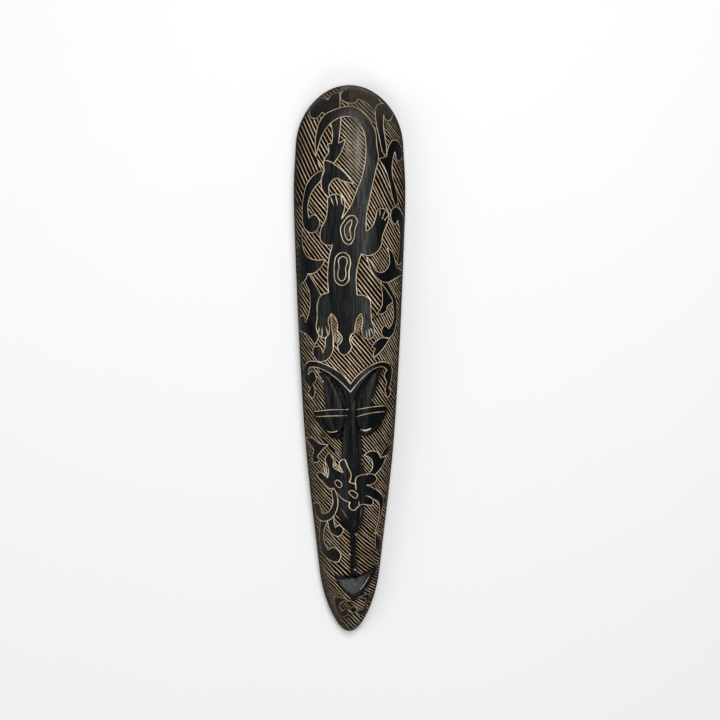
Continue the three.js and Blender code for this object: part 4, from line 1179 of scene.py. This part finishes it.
def free_runs(courses, random, kept_off, zone=None):
    """The stretches of hatch lines on the front, off the closed lines and inside the zone's, if any."""
    points = courses.reshape(-1, 2)
    stops = random.uniform(-STRAY_STOP, STRAY_STOP, len(courses)).repeat(courses.shape[1])
    free = on_front(points, np.where(points[:, 0] < 0, *SIDE_MARGINS) + stops)
    if zone is not None:
        free &= inside_line(points, zone)
    for line in kept_off:
        free &= ~inside_line(points, line)
    runs = []
    for course, open_here in zip(courses, free.reshape(courses.shape[:2])):
        changes = np.flatnonzero(np.diff(np.concatenate([[0], open_here.astype(int), [0]])))
        runs += [course[first:last] for first, last in zip(changes[::2], changes[1::2])]
    return [run for run in runs if np.hypot(*np.diff(run, axis=0).T).sum() > SHORTEST_HATCH]


def hatch_stroke(line, share, settings, random):
    """One hatch line as a cut, a little wider or narrower and paler or darker than the next."""
    length = np.hypot(*np.diff(line, axis=0).T).sum()
    picks = np.linspace(0, len(line) - 1, max(3, math.ceil(length / HATCH_POINT_STEP) + 1))
    line = np.column_stack([np.interp(picks, np.arange(len(line)), line[:, k]) for k in (0, 1)])
    share *= random.uniform(*HATCH_WIDTH_RANGE)
    width = settings.hatch_width / MM * share
    depth = settings.hatch_depth / MM * share
    return stroke(line, False, width, depth, HATCH_TAPER, random.uniform(*HATCH_PALENESS_RANGE))


def hatch_strokes(settings, random, plateaus):
    """The hatching of the ground, without what lies on a figure or on the plain parts of the face."""
    zones = [to_flat(drawn(area)) for area, *_ in HATCH_ZONES]
    strokes = []
    for line in free_runs(hatch_courses(settings, random), random, plateaus + zones):
        share = pitch_share(line[len(line) // 2, 1])
        strokes.append(hatch_stroke(line, share, settings, random))
    for zone, (area, fall, pitch, share) in zip(zones, HATCH_ZONES):
        courses = zone_courses(area, fall, pitch, settings, random)
        for line in free_runs(courses, random, plateaus, zone):
            strokes.append(hatch_stroke(line, share, settings, random))
    return strokes


def side_rows(part):
    """The two edges of a gouge line's V."""
    line, closed = part["line"], part["closed"]
    before = np.roll(line, 1, 0) if closed else np.vstack([line[:1], line[:-1]])
    after = np.roll(line, -1, 0) if closed else np.vstack([line[1:], line[-1:]])
    ahead = after - before
    ahead /= np.maximum(np.hypot(*ahead.T), NOTHING)[:, None]
    offset = np.column_stack([-ahead[:, 1], ahead[:, 0]]) * part["half"][:, None]
    return drawn_in(line + offset, CUT_EDGE_MARGIN), drawn_in(line - offset, CUT_EDGE_MARGIN)


class Pattern:
    """The flat points and lines that the triangles of the front follow."""

    def __init__(self):
        self.points, self.edges, self.count = [], [], 0

    def add_line(self, line, closed):
        span = np.arange(self.count, self.count + len(line))
        after = np.roll(span, -1)
        pairs = np.column_stack([span, after])
        self.edges += (pairs if closed else pairs[:-1]).tolist()
        self.add_points(line)

    def add_points(self, points):
        self.points.append(points)
        self.count += len(points)

    def triangles(self, border):
        """(points, triangles) of the whole pattern inside its border."""
        corners = [(x, down) for x in (-WIDTH, WIDTH) for down in (-WIDTH, LENGTH + WIDTH)]
        points = [Vector(point) for point in np.concatenate([*self.points, corners]).tolist()]
        made = geometry.delaunay_2d_cdt(points, self.edges, [], 0, WELD, False)
        points, triangles = np.array([tuple(point) for point in made[0]]), np.array(made[2])
        triangles = triangles[inside_line(points[triangles].mean(1), border)]
        used, triangles = np.unique(triangles, return_inverse=True)
        return points[used], triangles.reshape(-1, 3)


def outline_stations():
    """Rows down one side of the outline, closer together round the two ends."""
    top = TOP_CAP * (1 - np.cos(np.linspace(0, math.pi / 2, CROWN_STATIONS)))
    straight = LENGTH - TOP_CAP - CHIN_CAP
    body = TOP_CAP + straight * np.linspace(0, 1, round(straight / RIM_STEP))
    chin = LENGTH - CHIN_CAP * (1 - np.sin(np.linspace(0, math.pi / 2, CHIN_STATIONS)))
    rows = np.concatenate([top, body[1:], chin[1:]])
    down = np.concatenate([rows, rows[-2:0:-1]])
    side = np.concatenate([np.ones(len(rows)), -np.ones(len(rows) - 2)])
    return down, side


def outline_plan():
    """The mask's outline in the plan."""
    down, side = outline_stations()
    return np.column_stack([side * half_width(down), down])


def relief_lines():
    """Flat lines along the creases of the eyes, the nose and the mouth."""
    lines = []
    for eye in EYES:
        for leaf in (eye, socket_of(eye)):
            lines += [leaf_edge(leaf, side)[1:-1] for side in (-1, 1)]
    lines += [nose_edge(side)[1:-1] for side in (-1, 1)]
    x, upper, lower = mouth_edges(np.linspace(0, 1, LIP_POINTS))
    lines.append(np.column_stack([x, lower]))
    lines.append(np.column_stack([x, upper]))
    lines.append(np.column_stack([x, np.minimum(upper + LIP_WALL, lower)])[2:-2])
    return [to_flat(line) for line in lines]


def filler(strokes, spacing, clear, keep=None):
    """A staggered grid of flat points, away from the gouge lines."""
    edge = UNROLL * WIDTH / 2
    rows = np.arange(-edge, LENGTH + edge, spacing * ROW_SHARE)
    columns = np.arange(-edge, edge, spacing)
    x = columns[None, :] + (np.arange(len(rows)) % 2)[:, None] * spacing / 2
    points = np.column_stack([x.ravel(), np.repeat(rows, len(columns))])
    points = points[on_front(points, spacing / 2)]
    if keep is not None:
        points = points[keep(points)]
    tree = near_tree(np.concatenate([part["line"] for part in strokes]))
    far = [tree.find((*point, 0))[2] > clear for point in points.tolist()]
    return points[np.array(far)]


def near_tree(points):
    """A tree that finds the nearest of flat points."""
    tree = kdtree.KDTree(len(points))
    for i, point in enumerate(points.tolist()):
        tree.insert((*point, 0), i)
    tree.balance()
    return tree


def in_relief(flat):
    """Which flat points lie on the carved face."""
    plan, _ = from_flat(flat)
    return np.abs(relief(*plan.T)) > LEAST_RELIEF


def stroke_segments(strokes):
    """The short straight pieces of the gouge lines: ends, and half width, depth and paleness there."""
    ends, values = [], []
    for part in strokes:
        line = np.vstack([part["line"], part["line"][:1]]) if part["closed"] else part["line"]
        row = np.column_stack([part[name] for name in ("half", "depth", "pale")])
        row = np.vstack([row, row[:1]]) if part["closed"] else row
        ends.append(np.hstack([line[:-1], line[1:]]))
        values.append(np.stack([row[:-1], row[1:]], axis=1))
    return np.concatenate(ends), np.concatenate(values)


def cut_depth(points, strokes):
    """Depth of the gouging at flat points, and its share of the V that shows palest there."""
    ends, values = stroke_segments(strokes)
    tree = near_tree((ends[:, :2] + ends[:, 2:]) / 2)
    found = np.array([
        [index for _, index, _ in tree.find_n((*point, 0), NEAREST_PIECES)] for point in points.tolist()
    ])
    start, finish = ends[found, :2], ends[found, 2:]
    along = finish - start
    t = ((points[:, None] - start) * along).sum(2) / np.maximum((along ** 2).sum(2), NOTHING)
    t = np.clip(t, 0, 1)
    away = np.linalg.norm(points[:, None] - start - along * t[:, :, None], axis=2)
    first, last = values[found, 0], values[found, 1]
    half, depth, pale = (first + (last - first) * t[:, :, None]).transpose(2, 0, 1)
    share = np.clip(1 - away / half, 0, 1)
    share[share < LEAST_SHARE] = 0
    return (share * depth).max(1), (share * pale).max(1)


def corner_normals(places, triangles):
    """Normals of the front's corners, weighted by the triangles' areas."""
    a, b, c = (places[triangles[:, k]] for k in range(3))
    faces = np.cross(b - a, c - a)
    normals = np.zeros_like(places)
    for k in range(3):
        np.add.at(normals, triangles[:, k], faces)
    return normals / np.maximum(np.linalg.norm(normals, axis=1), NOTHING)[:, None]


def front_places(flat):
    """Millimetre places of flat points on the ungouged front."""
    plan, share = from_flat(flat)
    z = crest(spine(flat[:, 1])) * height_share(share) + relief(*plan.T)
    return np.column_stack([plan[:, 0], LENGTH / 2 - plan[:, 1], z])


def fit_to_frame(places):
    """The same places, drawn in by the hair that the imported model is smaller."""
    low, high = np.array(MASK_LOW) / MM, np.array(MASK_HIGH) / MM
    scale = (high - low - 2 * CLEARANCE) / np.ptp(places, axis=0)
    scale[2] = (high[2] - CLEARANCE) / places[:, 2].max()
    return places * np.minimum(scale, 1)


def front_pattern(strokes, border, shine):
    """The lines and points that the front's triangles follow."""
    pattern = Pattern()
    pattern.add_line(border, True)
    for part in strokes:
        pattern.add_line(part["line"], part["closed"])
        for row in side_rows(part):
            pattern.add_line(row, part["closed"])
    for line in relief_lines():
        pattern.add_line(line, False)
    pattern.add_line(shine, True)
    pattern.add_points(filler(strokes, *GROUND_GRID))
    pattern.add_points(filler(strokes, *FACE_GRID, in_relief))
    return pattern


def turned_out(flat, triangles):
    """The same triangles, each with its corners in the order that makes it face outwards."""
    a, b, c = (flat[triangles[:, k]] for k in range(3))
    spin = (b - a)[:, 0] * (c - a)[:, 1] - (b - a)[:, 1] * (c - a)[:, 0]
    return np.where((spin > 0)[:, None], triangles[:, ::-1], triangles)


def carve_front(settings, random):
    """Places, triangles and the surface values of the carved front, in millimetres."""
    strokes, plateaus = figure_strokes(settings)
    plateaus += [flat_line(points, True) for points in PLAIN_PLATEAUS]
    strokes += hatch_strokes(settings, random, plateaus)
    border = to_flat(outline_plan())
    shine = flat_line(MOUTH_SHINE, True)
    flat, triangles = front_pattern(strokes, border, shine).triangles(border)
    triangles = turned_out(flat, triangles)
    depth, share = cut_depth(flat, strokes)
    plain = front_places(flat)
    depth[plain[:, 2] < EDGE_HEIGHT] = 0
    places = plain - corner_normals(plain, triangles) * depth[:, None]
    ground = np.ones(len(flat), bool)
    for line in plateaus:
        ground &= ~inside_line(flat, line)
    side = np.sign(flat[:, 0]) * from_flat(flat)[1]
    # The mouth's shine marks where its painted sheen goes, and the cut's share also carries the painted
    # highlights' paleness.
    values = {"cut": share, "ground": ground, "scooped": inside_line(flat, shine), "side": side}
    return fit_to_frame(places), triangles, values


# The back.
def hollow_ring(arc, settings):
    """One ring of the hollow behind the face, from its foot at arc 1 to the spine at arc 0."""
    down, side = outline_stations()
    middle = spine(down)
    edge = np.column_stack([side * half_width(down), down - middle])
    length = np.hypot(*edge.T)
    share = arc_back(arc) * (length - settings.rim_width / MM) / length
    z = (crest(middle) - settings.wall / MM) * height_share(arc_back(arc))
    return np.column_stack([edge[:, 0] * share, LENGTH / 2 - middle - edge[:, 1] * share, z])


def gouge_seeds(random):
    """Middles of the scooping gouge's long scallops, on a loose staggered grid."""
    columns = range(-GOUGES_ACROSS, GOUGES_ACROSS + 1)
    rows = range(-GOUGES_ALONG, GOUGES_ALONG + 1)
    grid = np.array([(column + 0.5 * (row % 2), row) for column in columns for row in rows], float)
    return near_tree(grid + random.uniform(-GOUGE_STRAY, GOUGE_STRAY, grid.shape))


def gouge_marks(places, seeds):
    """How deep the scooping gouge went at places in the hollow."""
    scaled = places[:, :2] / (GOUGE_ACROSS, GOUGE_ALONG)
    away = np.array([seeds.find((*point, 0))[2] for point in scaled.tolist()])
    return GOUGE_DEPTH * np.clip(1 - (away / GOUGE_REACH) ** 2, 0, 1)


def add_back(bm, settings, random):
    """The flat rim and the hollow, drawn inwards ring by ring from the front's edge."""
    station = bm.verts.layers.int["station"]
    front = set(bm.faces)
    seeds = gouge_seeds(random)
    for arc in (1.0, *np.linspace(FOOT_ARC, 0, HOLLOW_RINGS)):
        ring = [edge for edge in bm.edges if edge.is_boundary]
        bmesh.ops.extrude_edge_only(bm, edges=ring)
        places = hollow_ring(arc, settings)
        if 0 < arc < FOOT_ARC:
            places[:, 2] += gouge_marks(places, seeds) * min(1, (1 - arc) * GOUGE_FADE)
        for vert in {vert for edge in bm.edges if edge.is_boundary for vert in edge.verts}:
            vert.co = places[vert[station] - 1] * MM
    spine_corners = {vert for edge in bm.edges if edge.is_boundary for vert in edge.verts}
    bmesh.ops.remove_doubles(bm, verts=list(spine_corners), dist=SEAM_WELD)
    for face in bm.faces:
        face.material_index = 0 if face in front else 1


def mark_stations(bm, station):
    """Numbers the front's edge corners by their place in the outline, from 1."""
    plan = outline_plan()
    places = np.column_stack([plan[:, 0], LENGTH / 2 - plan[:, 1]])
    places = places * np.ptp([vert.co.y for vert in bm.verts]) / LENGTH
    tree = near_tree(places)
    edge = [vert for vert in bm.verts if vert.is_boundary]
    for vert in edge:
        vert[station] = tree.find((*vert.co.xy, 0))[1] + 1
    if sorted(vert[station] for vert in edge) != list(range(1, len(places) + 1)):
        raise RuntimeError(f"the front's edge has {len(edge)} corners for {len(places)} stations")


def mask_mesh(settings):
    """The whole mask as one closed mesh: the carved front, the flat rim and the hollow."""
    random = np.random.default_rng(SEED)
    places, triangles, values = carve_front(settings, random)
    mesh = bpy.data.meshes.new("carved_mask_wood")
    mesh.from_pydata((places * MM).tolist(), [], triangles.tolist())
    bm = bmesh.new()
    bm.from_mesh(mesh)
    for name, value in values.items():
        layer = bm.verts.layers.float.new(name)
        for vert in bm.verts:
            vert[layer] = float(value[vert.index])
    station = bm.verts.layers.int.new("station")
    mark_stations(bm, station)
    add_back(bm, settings, random)
    bmesh.ops.recalc_face_normals(bm, faces=bm.faces[:])
    bm.verts.layers.int.remove(station)
    bm.to_mesh(mesh)
    bm.free()
    mesh.shade_smooth()
    mesh.set_sharp_from_angle(angle=SHARP_ANGLE)
    return mesh


# Materials.
def node(tree, kind, inputs=None, **options):
    """A new node with its options set and its inputs given as values or linked from sockets."""
    made = tree.nodes.new(kind)
    for name, value in options.items():
        setattr(made, name, value)
    for name, value in (inputs or {}).items():
        if isinstance(value, bpy.types.NodeSocket):
            tree.links.new(value, made.inputs[name])
        else:
            made.inputs[name].default_value = value
    return made


def new_group(name, inputs, outputs):
    """A shader node group with its sockets, its input node and its output node."""
    tree = bpy.data.node_groups.new(name, "ShaderNodeTree")
    for label, kind, default in inputs:
        socket = tree.interface.new_socket(name=label, in_out="INPUT", socket_type=kind)
        if default is not None:
            socket.default_value = default
    for label, kind in outputs:
        tree.interface.new_socket(name=label, in_out="OUTPUT", socket_type=kind)
    return tree, node(tree, "NodeGroupInput").outputs, node(tree, "NodeGroupOutput")


def remap(tree, value, low, high, to_low=0.0, to_high=1.0):
    """A smooth change from one value to another, between two limits of the value that drives it."""
    values = {"Value": value, "From Min": low, "From Max": high, "To Min": to_low, "To Max": to_high}
    return node(tree, "ShaderNodeMapRange", values, interpolation_type="SMOOTHSTEP").outputs["Result"]


def noise(tree, vector, scale, detail=4.0, roughness=0.55):
    values = {"Vector": vector, "Scale": scale, "Detail": detail, "Roughness": roughness}
    return node(tree, "ShaderNodeTexNoise", values).outputs["Fac"]


def mixed(tree, share, first, second):
    """Colour mix of two colours by a share. The node's colour sockets are known by number only."""
    made = node(tree, "ShaderNodeMix", {"Factor": share}, data_type="RGBA")
    for socket, value in ((made.inputs[6], first), (made.inputs[7], second)):
        if isinstance(value, bpy.types.NodeSocket):
            tree.links.new(value, socket)
        else:
            socket.default_value = (*value[:3], 1.0)
    return made.outputs[2]


def maths(tree, operation, first, second):
    """A step of arithmetic."""
    return node(tree, "ShaderNodeMath", {0: first, 1: second}, operation=operation).outputs[0]


def times(tree, first, second):
    return maths(tree, "MULTIPLY", first, second)


def plus(tree, first, second):
    return maths(tree, "ADD", first, second)


def without(tree, value, share):
    """The value as it is where the share is 0, and nothing where the share is 1."""
    return times(tree, value, maths(tree, "SUBTRACT", 1.0, share))


def vectors(tree, operation, first, second):
    """A step of vector arithmetic."""
    return node(tree, "ShaderNodeVectorMath", {0: first, 1: second}, operation=operation).outputs[0]


def wood_grain_group():
    """Long streaks down the length of the wood, and fine pores."""
    tree, given, result = new_group(
        "Wood grain",
        [("Vector", "NodeSocketVector", None), ("Streak scale", "NodeSocketFloat", STREAK_SCALE)],
        [("Streaks", "NodeSocketFloat"), ("Pores", "NodeSocketFloat"), ("Height", "NodeSocketFloat")],
    )
    along = vectors(tree, "MULTIPLY", given["Vector"], STREAK_STRETCH)
    sway = times(tree, noise(tree, given["Vector"], *SWAY_NOISE), STREAK_SWAY)
    swayed = vectors(tree, "ADD", along, sway)
    streaks = remap(tree, noise(tree, swayed, given["Streak scale"], *STREAK_NOISE), *STREAK_RANGE)
    drawn_out = vectors(tree, "MULTIPLY", given["Vector"], PORE_STRETCH)
    pores = remap(tree, noise(tree, drawn_out, *PORE_NOISE), *PORE_RANGE)
    height = maths(tree, "SUBTRACT", streaks, times(tree, pores, PORE_DENT))
    for label, socket in (("Streaks", streaks), ("Pores", pores), ("Height", height)):
        tree.links.new(socket, result.inputs[label])
    return tree


def dust_group():
    """Dust that has settled in patches, more of it where the amount is higher."""
    tree, given, result = new_group(
        "Dust",
        [
            ("Vector", "NodeSocketVector", None), ("Amount", "NodeSocketFloat", BACK_DUST),
            ("Colour", "NodeSocketColor", BACK_DUST_COLOUR),
            ("Surface", "NodeSocketColor", (*BACK_STAIN, 1.0)),
        ],
        [("Colour", "NodeSocketColor"), ("Mask", "NodeSocketFloat")],
    )
    specks = times(tree, noise(tree, given["Vector"], *DUST_SPECKS), SPECK_SHARE)
    patches = plus(tree, noise(tree, given["Vector"], *DUST_PATCHES), specks)
    share = times(tree, remap(tree, patches, *DUST_RANGE), given["Amount"])
    colour = mixed(tree, share, given["Surface"], given["Colour"])
    tree.links.new(share, result.inputs["Mask"])
    tree.links.new(colour, result.inputs["Colour"])
    return tree


def group_node(tree, group, inputs):
    """The outputs of a node group placed in a material with its own values."""
    return node(tree, "ShaderNodeGroup", inputs, node_tree=group).outputs


def new_material(name):
    """A material with its node tree, its shader and the Object coordinates."""
    made = bpy.data.materials.new(name)
    made.use_nodes = True
    tree = made.node_tree
    return made, tree, tree.nodes["Principled BSDF"], node(tree, "ShaderNodeTexCoord").outputs["Object"]


def link_wood(tree, surface, colour, rough, height, bump):
    """Links a wood's colour and roughness, and its grain as a bump."""
    strength, distance = bump
    dented = node(tree, "ShaderNodeBump", {"Height": height, "Strength": strength, "Distance": distance})
    links = {"Base Color": colour, "Roughness": rough, "Normal": dented.outputs["Normal"]}
    for name, socket in links.items():
        tree.links.new(socket, surface.inputs[name])


def surface_marks(tree):
    """The front's own values: how far a cut opens it, with the painted highlights' paleness, hatched ground,
    the scooped mouth's painted sheen, and its side.
    """
    names = ("cut", "ground", "scooped", "side")
    return {name: node(tree, "ShaderNodeAttribute", attribute_name=name).outputs["Fac"] for name in names}


def stain_colour(tree, streaks, marks, settings):
    """The stain, paler in its streaks of grain and partly painted sheen, a lighter grey in the mouth as a
    painted sheen, and browner on the hatched ground.
    """
    # The streaks' paler stain is the grain, and partly a painted sheen along it.
    pale = [value * STREAK_AND_SHEEN_BRIGHTNESS for value in settings.stain]
    stain = mixed(tree, streaks, settings.stain, pale)
    # Painted sheen: the scooped mouth is painted a lighter grey.
    stain = mixed(tree, times(tree, marks["scooped"], MOUTH_SHEEN_SHARE), stain, MOUTH_SHEEN_GREY)
    return mixed(tree, times(tree, marks["ground"], GROUND_SHARE), stain, GROUND_STAIN)


def bare_colour(tree, place, streaks, settings):
    """The bare wood, ochre in patches and streaked with brown."""
    worn = [value * share for value, share in zip(settings.bare_wood, WORN_BARE_SHARES)]
    patch = remap(tree, noise(tree, place, *BARE_PATCHES), *BARE_RANGE)
    bare = mixed(tree, patch, worn, settings.bare_wood)
    return mixed(tree, times(tree, streaks, BARE_STREAK_SHARE), bare, BARE_STREAK)


def ragged_cut(tree, place, cut):
    """How far a cut opens the wood, made uneven in patches and specks."""
    patches = times(tree, noise(tree, place, *CUT_PATCHES), CUT_PATCH_SHARE)
    specks = times(tree, noise(tree, place, *CUT_SPECKS), CUT_SPECK_SHARE)
    return plus(tree, cut, plus(tree, specks, patches))


def dust_and_glare_patch(tree, place, middle, reach, most):
    """How much a pale patch of painted glare and dust gives: most in the middle of a long patch, fading out
    round it.
    """
    across, along = reach
    away = vectors(tree, "SUBTRACT", place, middle)
    away = vectors(tree, "MULTIPLY", away, (1 / across, 1 / along, 0))
    length = node(tree, "ShaderNodeVectorMath", {0: away}, operation="LENGTH").outputs["Value"]
    return remap(tree, length, *PATCH_RANGE, most, 0.0)


def dust_and_glare_colour(tree, place, streaks, ground, colour):
    """The colour with the forehead's pale patches, painted glare and dust, over its hatched ground."""
    for middle, reach, most, tone in DUST_AND_GLARE_PATCHES:
        dust_and_glare = dust_and_glare_patch(tree, place, middle, reach, most)
        dust_and_glare = times(tree, dust_and_glare, remap(tree, streaks, 0.0, 1.0, *DUST_AND_GLARE_STREAKS))
        pale = [tone * share for share in DUST_AND_GLARE_HUE]
        colour = mixed(tree, times(tree, dust_and_glare, ground), colour, pale)
    return colour


def dust_amount(tree, along, side):
    """Dust on the lower left side, the chin and the crown, and all along the rim."""
    low_left = times(tree, remap(tree, along["Y"], *LOW_PLACE), remap(tree, side, *DUSTY_LEFT))
    low_left = times(tree, low_left, LOW_LEFT_DUST)
    chin = times(tree, remap(tree, along["Y"], *CHIN_PLACE), CHIN_DUST)
    crown = remap(tree, side, *CROWN_SIDES, *CROWN_DUST)
    crown = times(tree, remap(tree, along["Y"], *CROWN_PLACE), crown)
    rim = remap(tree, side, *RIM_SIDES, *RIM_DUST)
    rim = times(tree, remap(tree, along["Z"], *RIM_PLACE), rim)
    return plus(tree, maths(tree, "MAXIMUM", maths(tree, "MAXIMUM", low_left, chin), crown), rim)


def polish(tree, streaks, along, marks, opened, dust):
    """The satin of the stain: least on ground, bare wood and dust, and duller low down and at the sides."""
    lower_face = remap(tree, along["Y"], *LOWER_FACE_PLACE, 0.0, LOWER_FACE_DULL)
    lower_face = without(tree, lower_face, marks["scooped"])
    right = remap(tree, marks["side"], *DULL_RIGHT)
    left = remap(tree, marks["side"], *DULL_LEFT, 0.0, LEFT_DULL)
    satin = remap(tree, streaks, 0.0, 1.0, *POLISH)
    for share in (marks["ground"], opened, dust, lower_face, right, left):
        satin = without(tree, satin, share)
    return satin


def stained_front(settings, grain, dust):
    """Satin blue-black stain on what stands proud, pale bare wood in the cuts."""
    made, tree, surface, place = new_material("stained_carved_wood")
    wood = group_node(tree, grain, {"Vector": place})
    streaks = wood["Streaks"]
    marks = surface_marks(tree)
    along = node(tree, "ShaderNodeSeparateXYZ", {"Vector": place}).outputs

    ragged = ragged_cut(tree, place, marks["cut"])
    opened = remap(tree, ragged, *OPENED_RANGE)
    stain = stain_colour(tree, streaks, marks, settings)
    skirt = mixed(tree, remap(tree, ragged, *SKIRT_RANGE), stain, SKIRT_STAIN)
    colour = mixed(tree, opened, skirt, bare_colour(tree, place, streaks, settings))
    # Painted glare and dust: pale patches on the forehead's hatched ground.
    colour = dust_and_glare_colour(tree, place, streaks, marks["ground"], colour)
    # Painted glints: a painted highlight paler than bare wood is painted white.
    colour = mixed(tree, remap(tree, marks["cut"], *GLINT_RANGE), colour, GLINT_WHITE)
    dusted = group_node(tree, dust, {
        "Vector": place, "Amount": dust_amount(tree, along, marks["side"]),
        "Colour": (*settings.dust, 1.0), "Surface": colour,
    })

    rough = remap(tree, streaks, 0.0, 1.0, *FRONT_ROUGHNESS)
    rough = plus(tree, rough, times(tree, marks["ground"], GROUND_ROUGHNESS))
    link_wood(tree, surface, dusted["Colour"], rough, wood["Height"], FRONT_BUMP)
    satin = polish(tree, streaks, along, marks, opened, dusted["Mask"])
    tree.links.new(satin, surface.inputs["Coat Weight"])
    surface.inputs["Coat Roughness"].default_value = POLISH_ROUGHNESS
    surface.inputs["Specular IOR Level"].default_value = STAIN_SPECULAR
    return made


def dull_back(grain, dust):
    """A thin brown stain, dull and dusty, on the rim and in the hollow."""
    made, tree, surface, place = new_material("dull_stained_back")
    wood = group_node(tree, grain, {"Vector": place})
    stain = mixed(tree, wood["Streaks"], BACK_STAIN, BACK_STREAK)
    stain = mixed(tree, wood["Pores"], stain, BACK_PORE)
    dusted = group_node(tree, dust, {
        "Vector": place, "Amount": BACK_DUST, "Colour": BACK_DUST_COLOUR, "Surface": stain,
    })
    rough = remap(tree, wood["Streaks"], 0.0, 1.0, *BACK_ROUGHNESS)
    link_wood(tree, surface, dusted["Colour"], rough, wood["Height"], BACK_BUMP)
    return made


class MASK_OT_carved_mask(bpy.types.Operator):
    """Carve the mask in one piece: the hatched front, the flat rim and the hollow"""

    bl_idname = "mask.carved_mask"
    bl_label = "Carved mask"

    def execute(self, context):
        settings = context.scene.carved_mask
        grain, dust = wood_grain_group(), dust_group()
        mesh = mask_mesh(settings)
        mesh.materials.append(stained_front(settings, grain, dust))
        mesh.materials.append(dull_back(grain, dust))
        piece = bpy.data.objects.new("carved_mask_piece", mesh)
        context.scene.collection.objects.link(piece)
        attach(piece, "root")
        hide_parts("carved_mask")
        return {"FINISHED"}


# The stage.
def soft_light(name, place, size, power):
    """A soft rectangular lamp that faces the middle of the mask."""
    data = bpy.data.lights.new(name, "AREA")
    data.shape = "RECTANGLE"
    data.size, data.size_y = size
    data.energy = power
    lamp = bpy.data.objects.new(name, data)
    lamp.location = place
    lamp.rotation_mode = "QUATERNION"
    lamp.rotation_quaternion = (-Vector(place)).to_track_quat("-Z", "Y")
    bpy.context.scene.collection.objects.link(lamp)


def floor_piece():
    """The plain pale floor, a hair under the rim."""
    bm = bmesh.new()
    bmesh.ops.create_grid(bm, x_segments=1, y_segments=1, size=FLOOR_REACH)
    mesh = bpy.data.meshes.new("pale_floor")
    bm.to_mesh(mesh)
    bm.free()
    made, tree, surface, place = new_material("pale_floor")
    shade = mixed(tree, noise(tree, place, *FLOOR_NOISE), *FLOOR_TONES)
    tree.links.new(shade, surface.inputs["Base Color"])
    surface.inputs["Roughness"].default_value = FLOOR_ROUGHNESS
    surface.inputs["Specular IOR Level"].default_value = FLOOR_SPECULAR
    mesh.materials.append(made)
    piece = bpy.data.objects.new("pale_floor", mesh)
    piece.location = (0, 0, -FLOOR_GAP)
    bpy.context.scene.collection.objects.link(piece)


def overhead_camera(settings):
    """The camera, high above the mask and looking straight down."""
    data = bpy.data.cameras.new("overhead")
    data.sensor_width = SENSOR_WIDTH
    data.lens = SENSOR_WIDTH * settings.camera_height / settings.frame_width
    camera = bpy.data.objects.new("overhead", data)
    camera.location = (CAMERA_X, CAMERA_Y, settings.camera_height)
    return camera


class MASK_OT_stage(bpy.types.Operator):
    """Set the pale floor, the soft lights and the camera that looks straight down"""

    bl_idname = "mask.stage"
    bl_label = "Stage"

    def execute(self, context):
        scene = context.scene
        settings = scene.mask_stage
        floor_piece()
        world = bpy.data.worlds.new("studio")
        world.use_nodes = True
        world.node_tree.nodes["Background"].inputs["Color"].default_value = (1, 1, 1, 1)
        world.node_tree.nodes["Background"].inputs["Strength"].default_value = settings.sky
        scene.world = world
        for name, place, size, share in LAMPS:
            soft_light(name, place, size, settings.key_power * share)
        camera = overhead_camera(settings)
        scene.collection.objects.link(camera)
        scene.camera = camera
        scene.view_settings.view_transform = "Standard"
        return {"FINISHED"}


class MASK_PT_panel(bpy.types.Panel):
    """Sizes, colours and the steps that build the mask"""

    bl_idname = "MASK_PT_panel"
    bl_label = "Carved wooden mask"
    bl_space_type = "VIEW_3D"
    bl_region_type = "UI"
    bl_category = "Mask"

    def draw(self, context):
        for group, operator in (
            (context.scene.carved_mask, MASK_OT_carved_mask),
            (context.scene.mask_stage, MASK_OT_stage),
        ):
            box = self.layout.box()
            for name in type(group).__annotations__:
                box.prop(group, name)
            box.operator(operator.bl_idname)


CLASSES = (CarvedMaskSettings, MaskStageSettings, MASK_OT_carved_mask, MASK_OT_stage, MASK_PT_panel)


def register():
    for item in CLASSES:
        bpy.utils.register_class(item)
    bpy.types.Scene.carved_mask = bpy.props.PointerProperty(type=CarvedMaskSettings)
    bpy.types.Scene.mask_stage = bpy.props.PointerProperty(type=MaskStageSettings)


def unregister():
    del bpy.types.Scene.mask_stage
    del bpy.types.Scene.carved_mask
    for item in reversed(CLASSES):
        bpy.utils.unregister_class(item)


def main():
    register()
    bpy.ops.mask.carved_mask()
    bpy.ops.mask.stage()


if __name__ == "__main__":
    main()
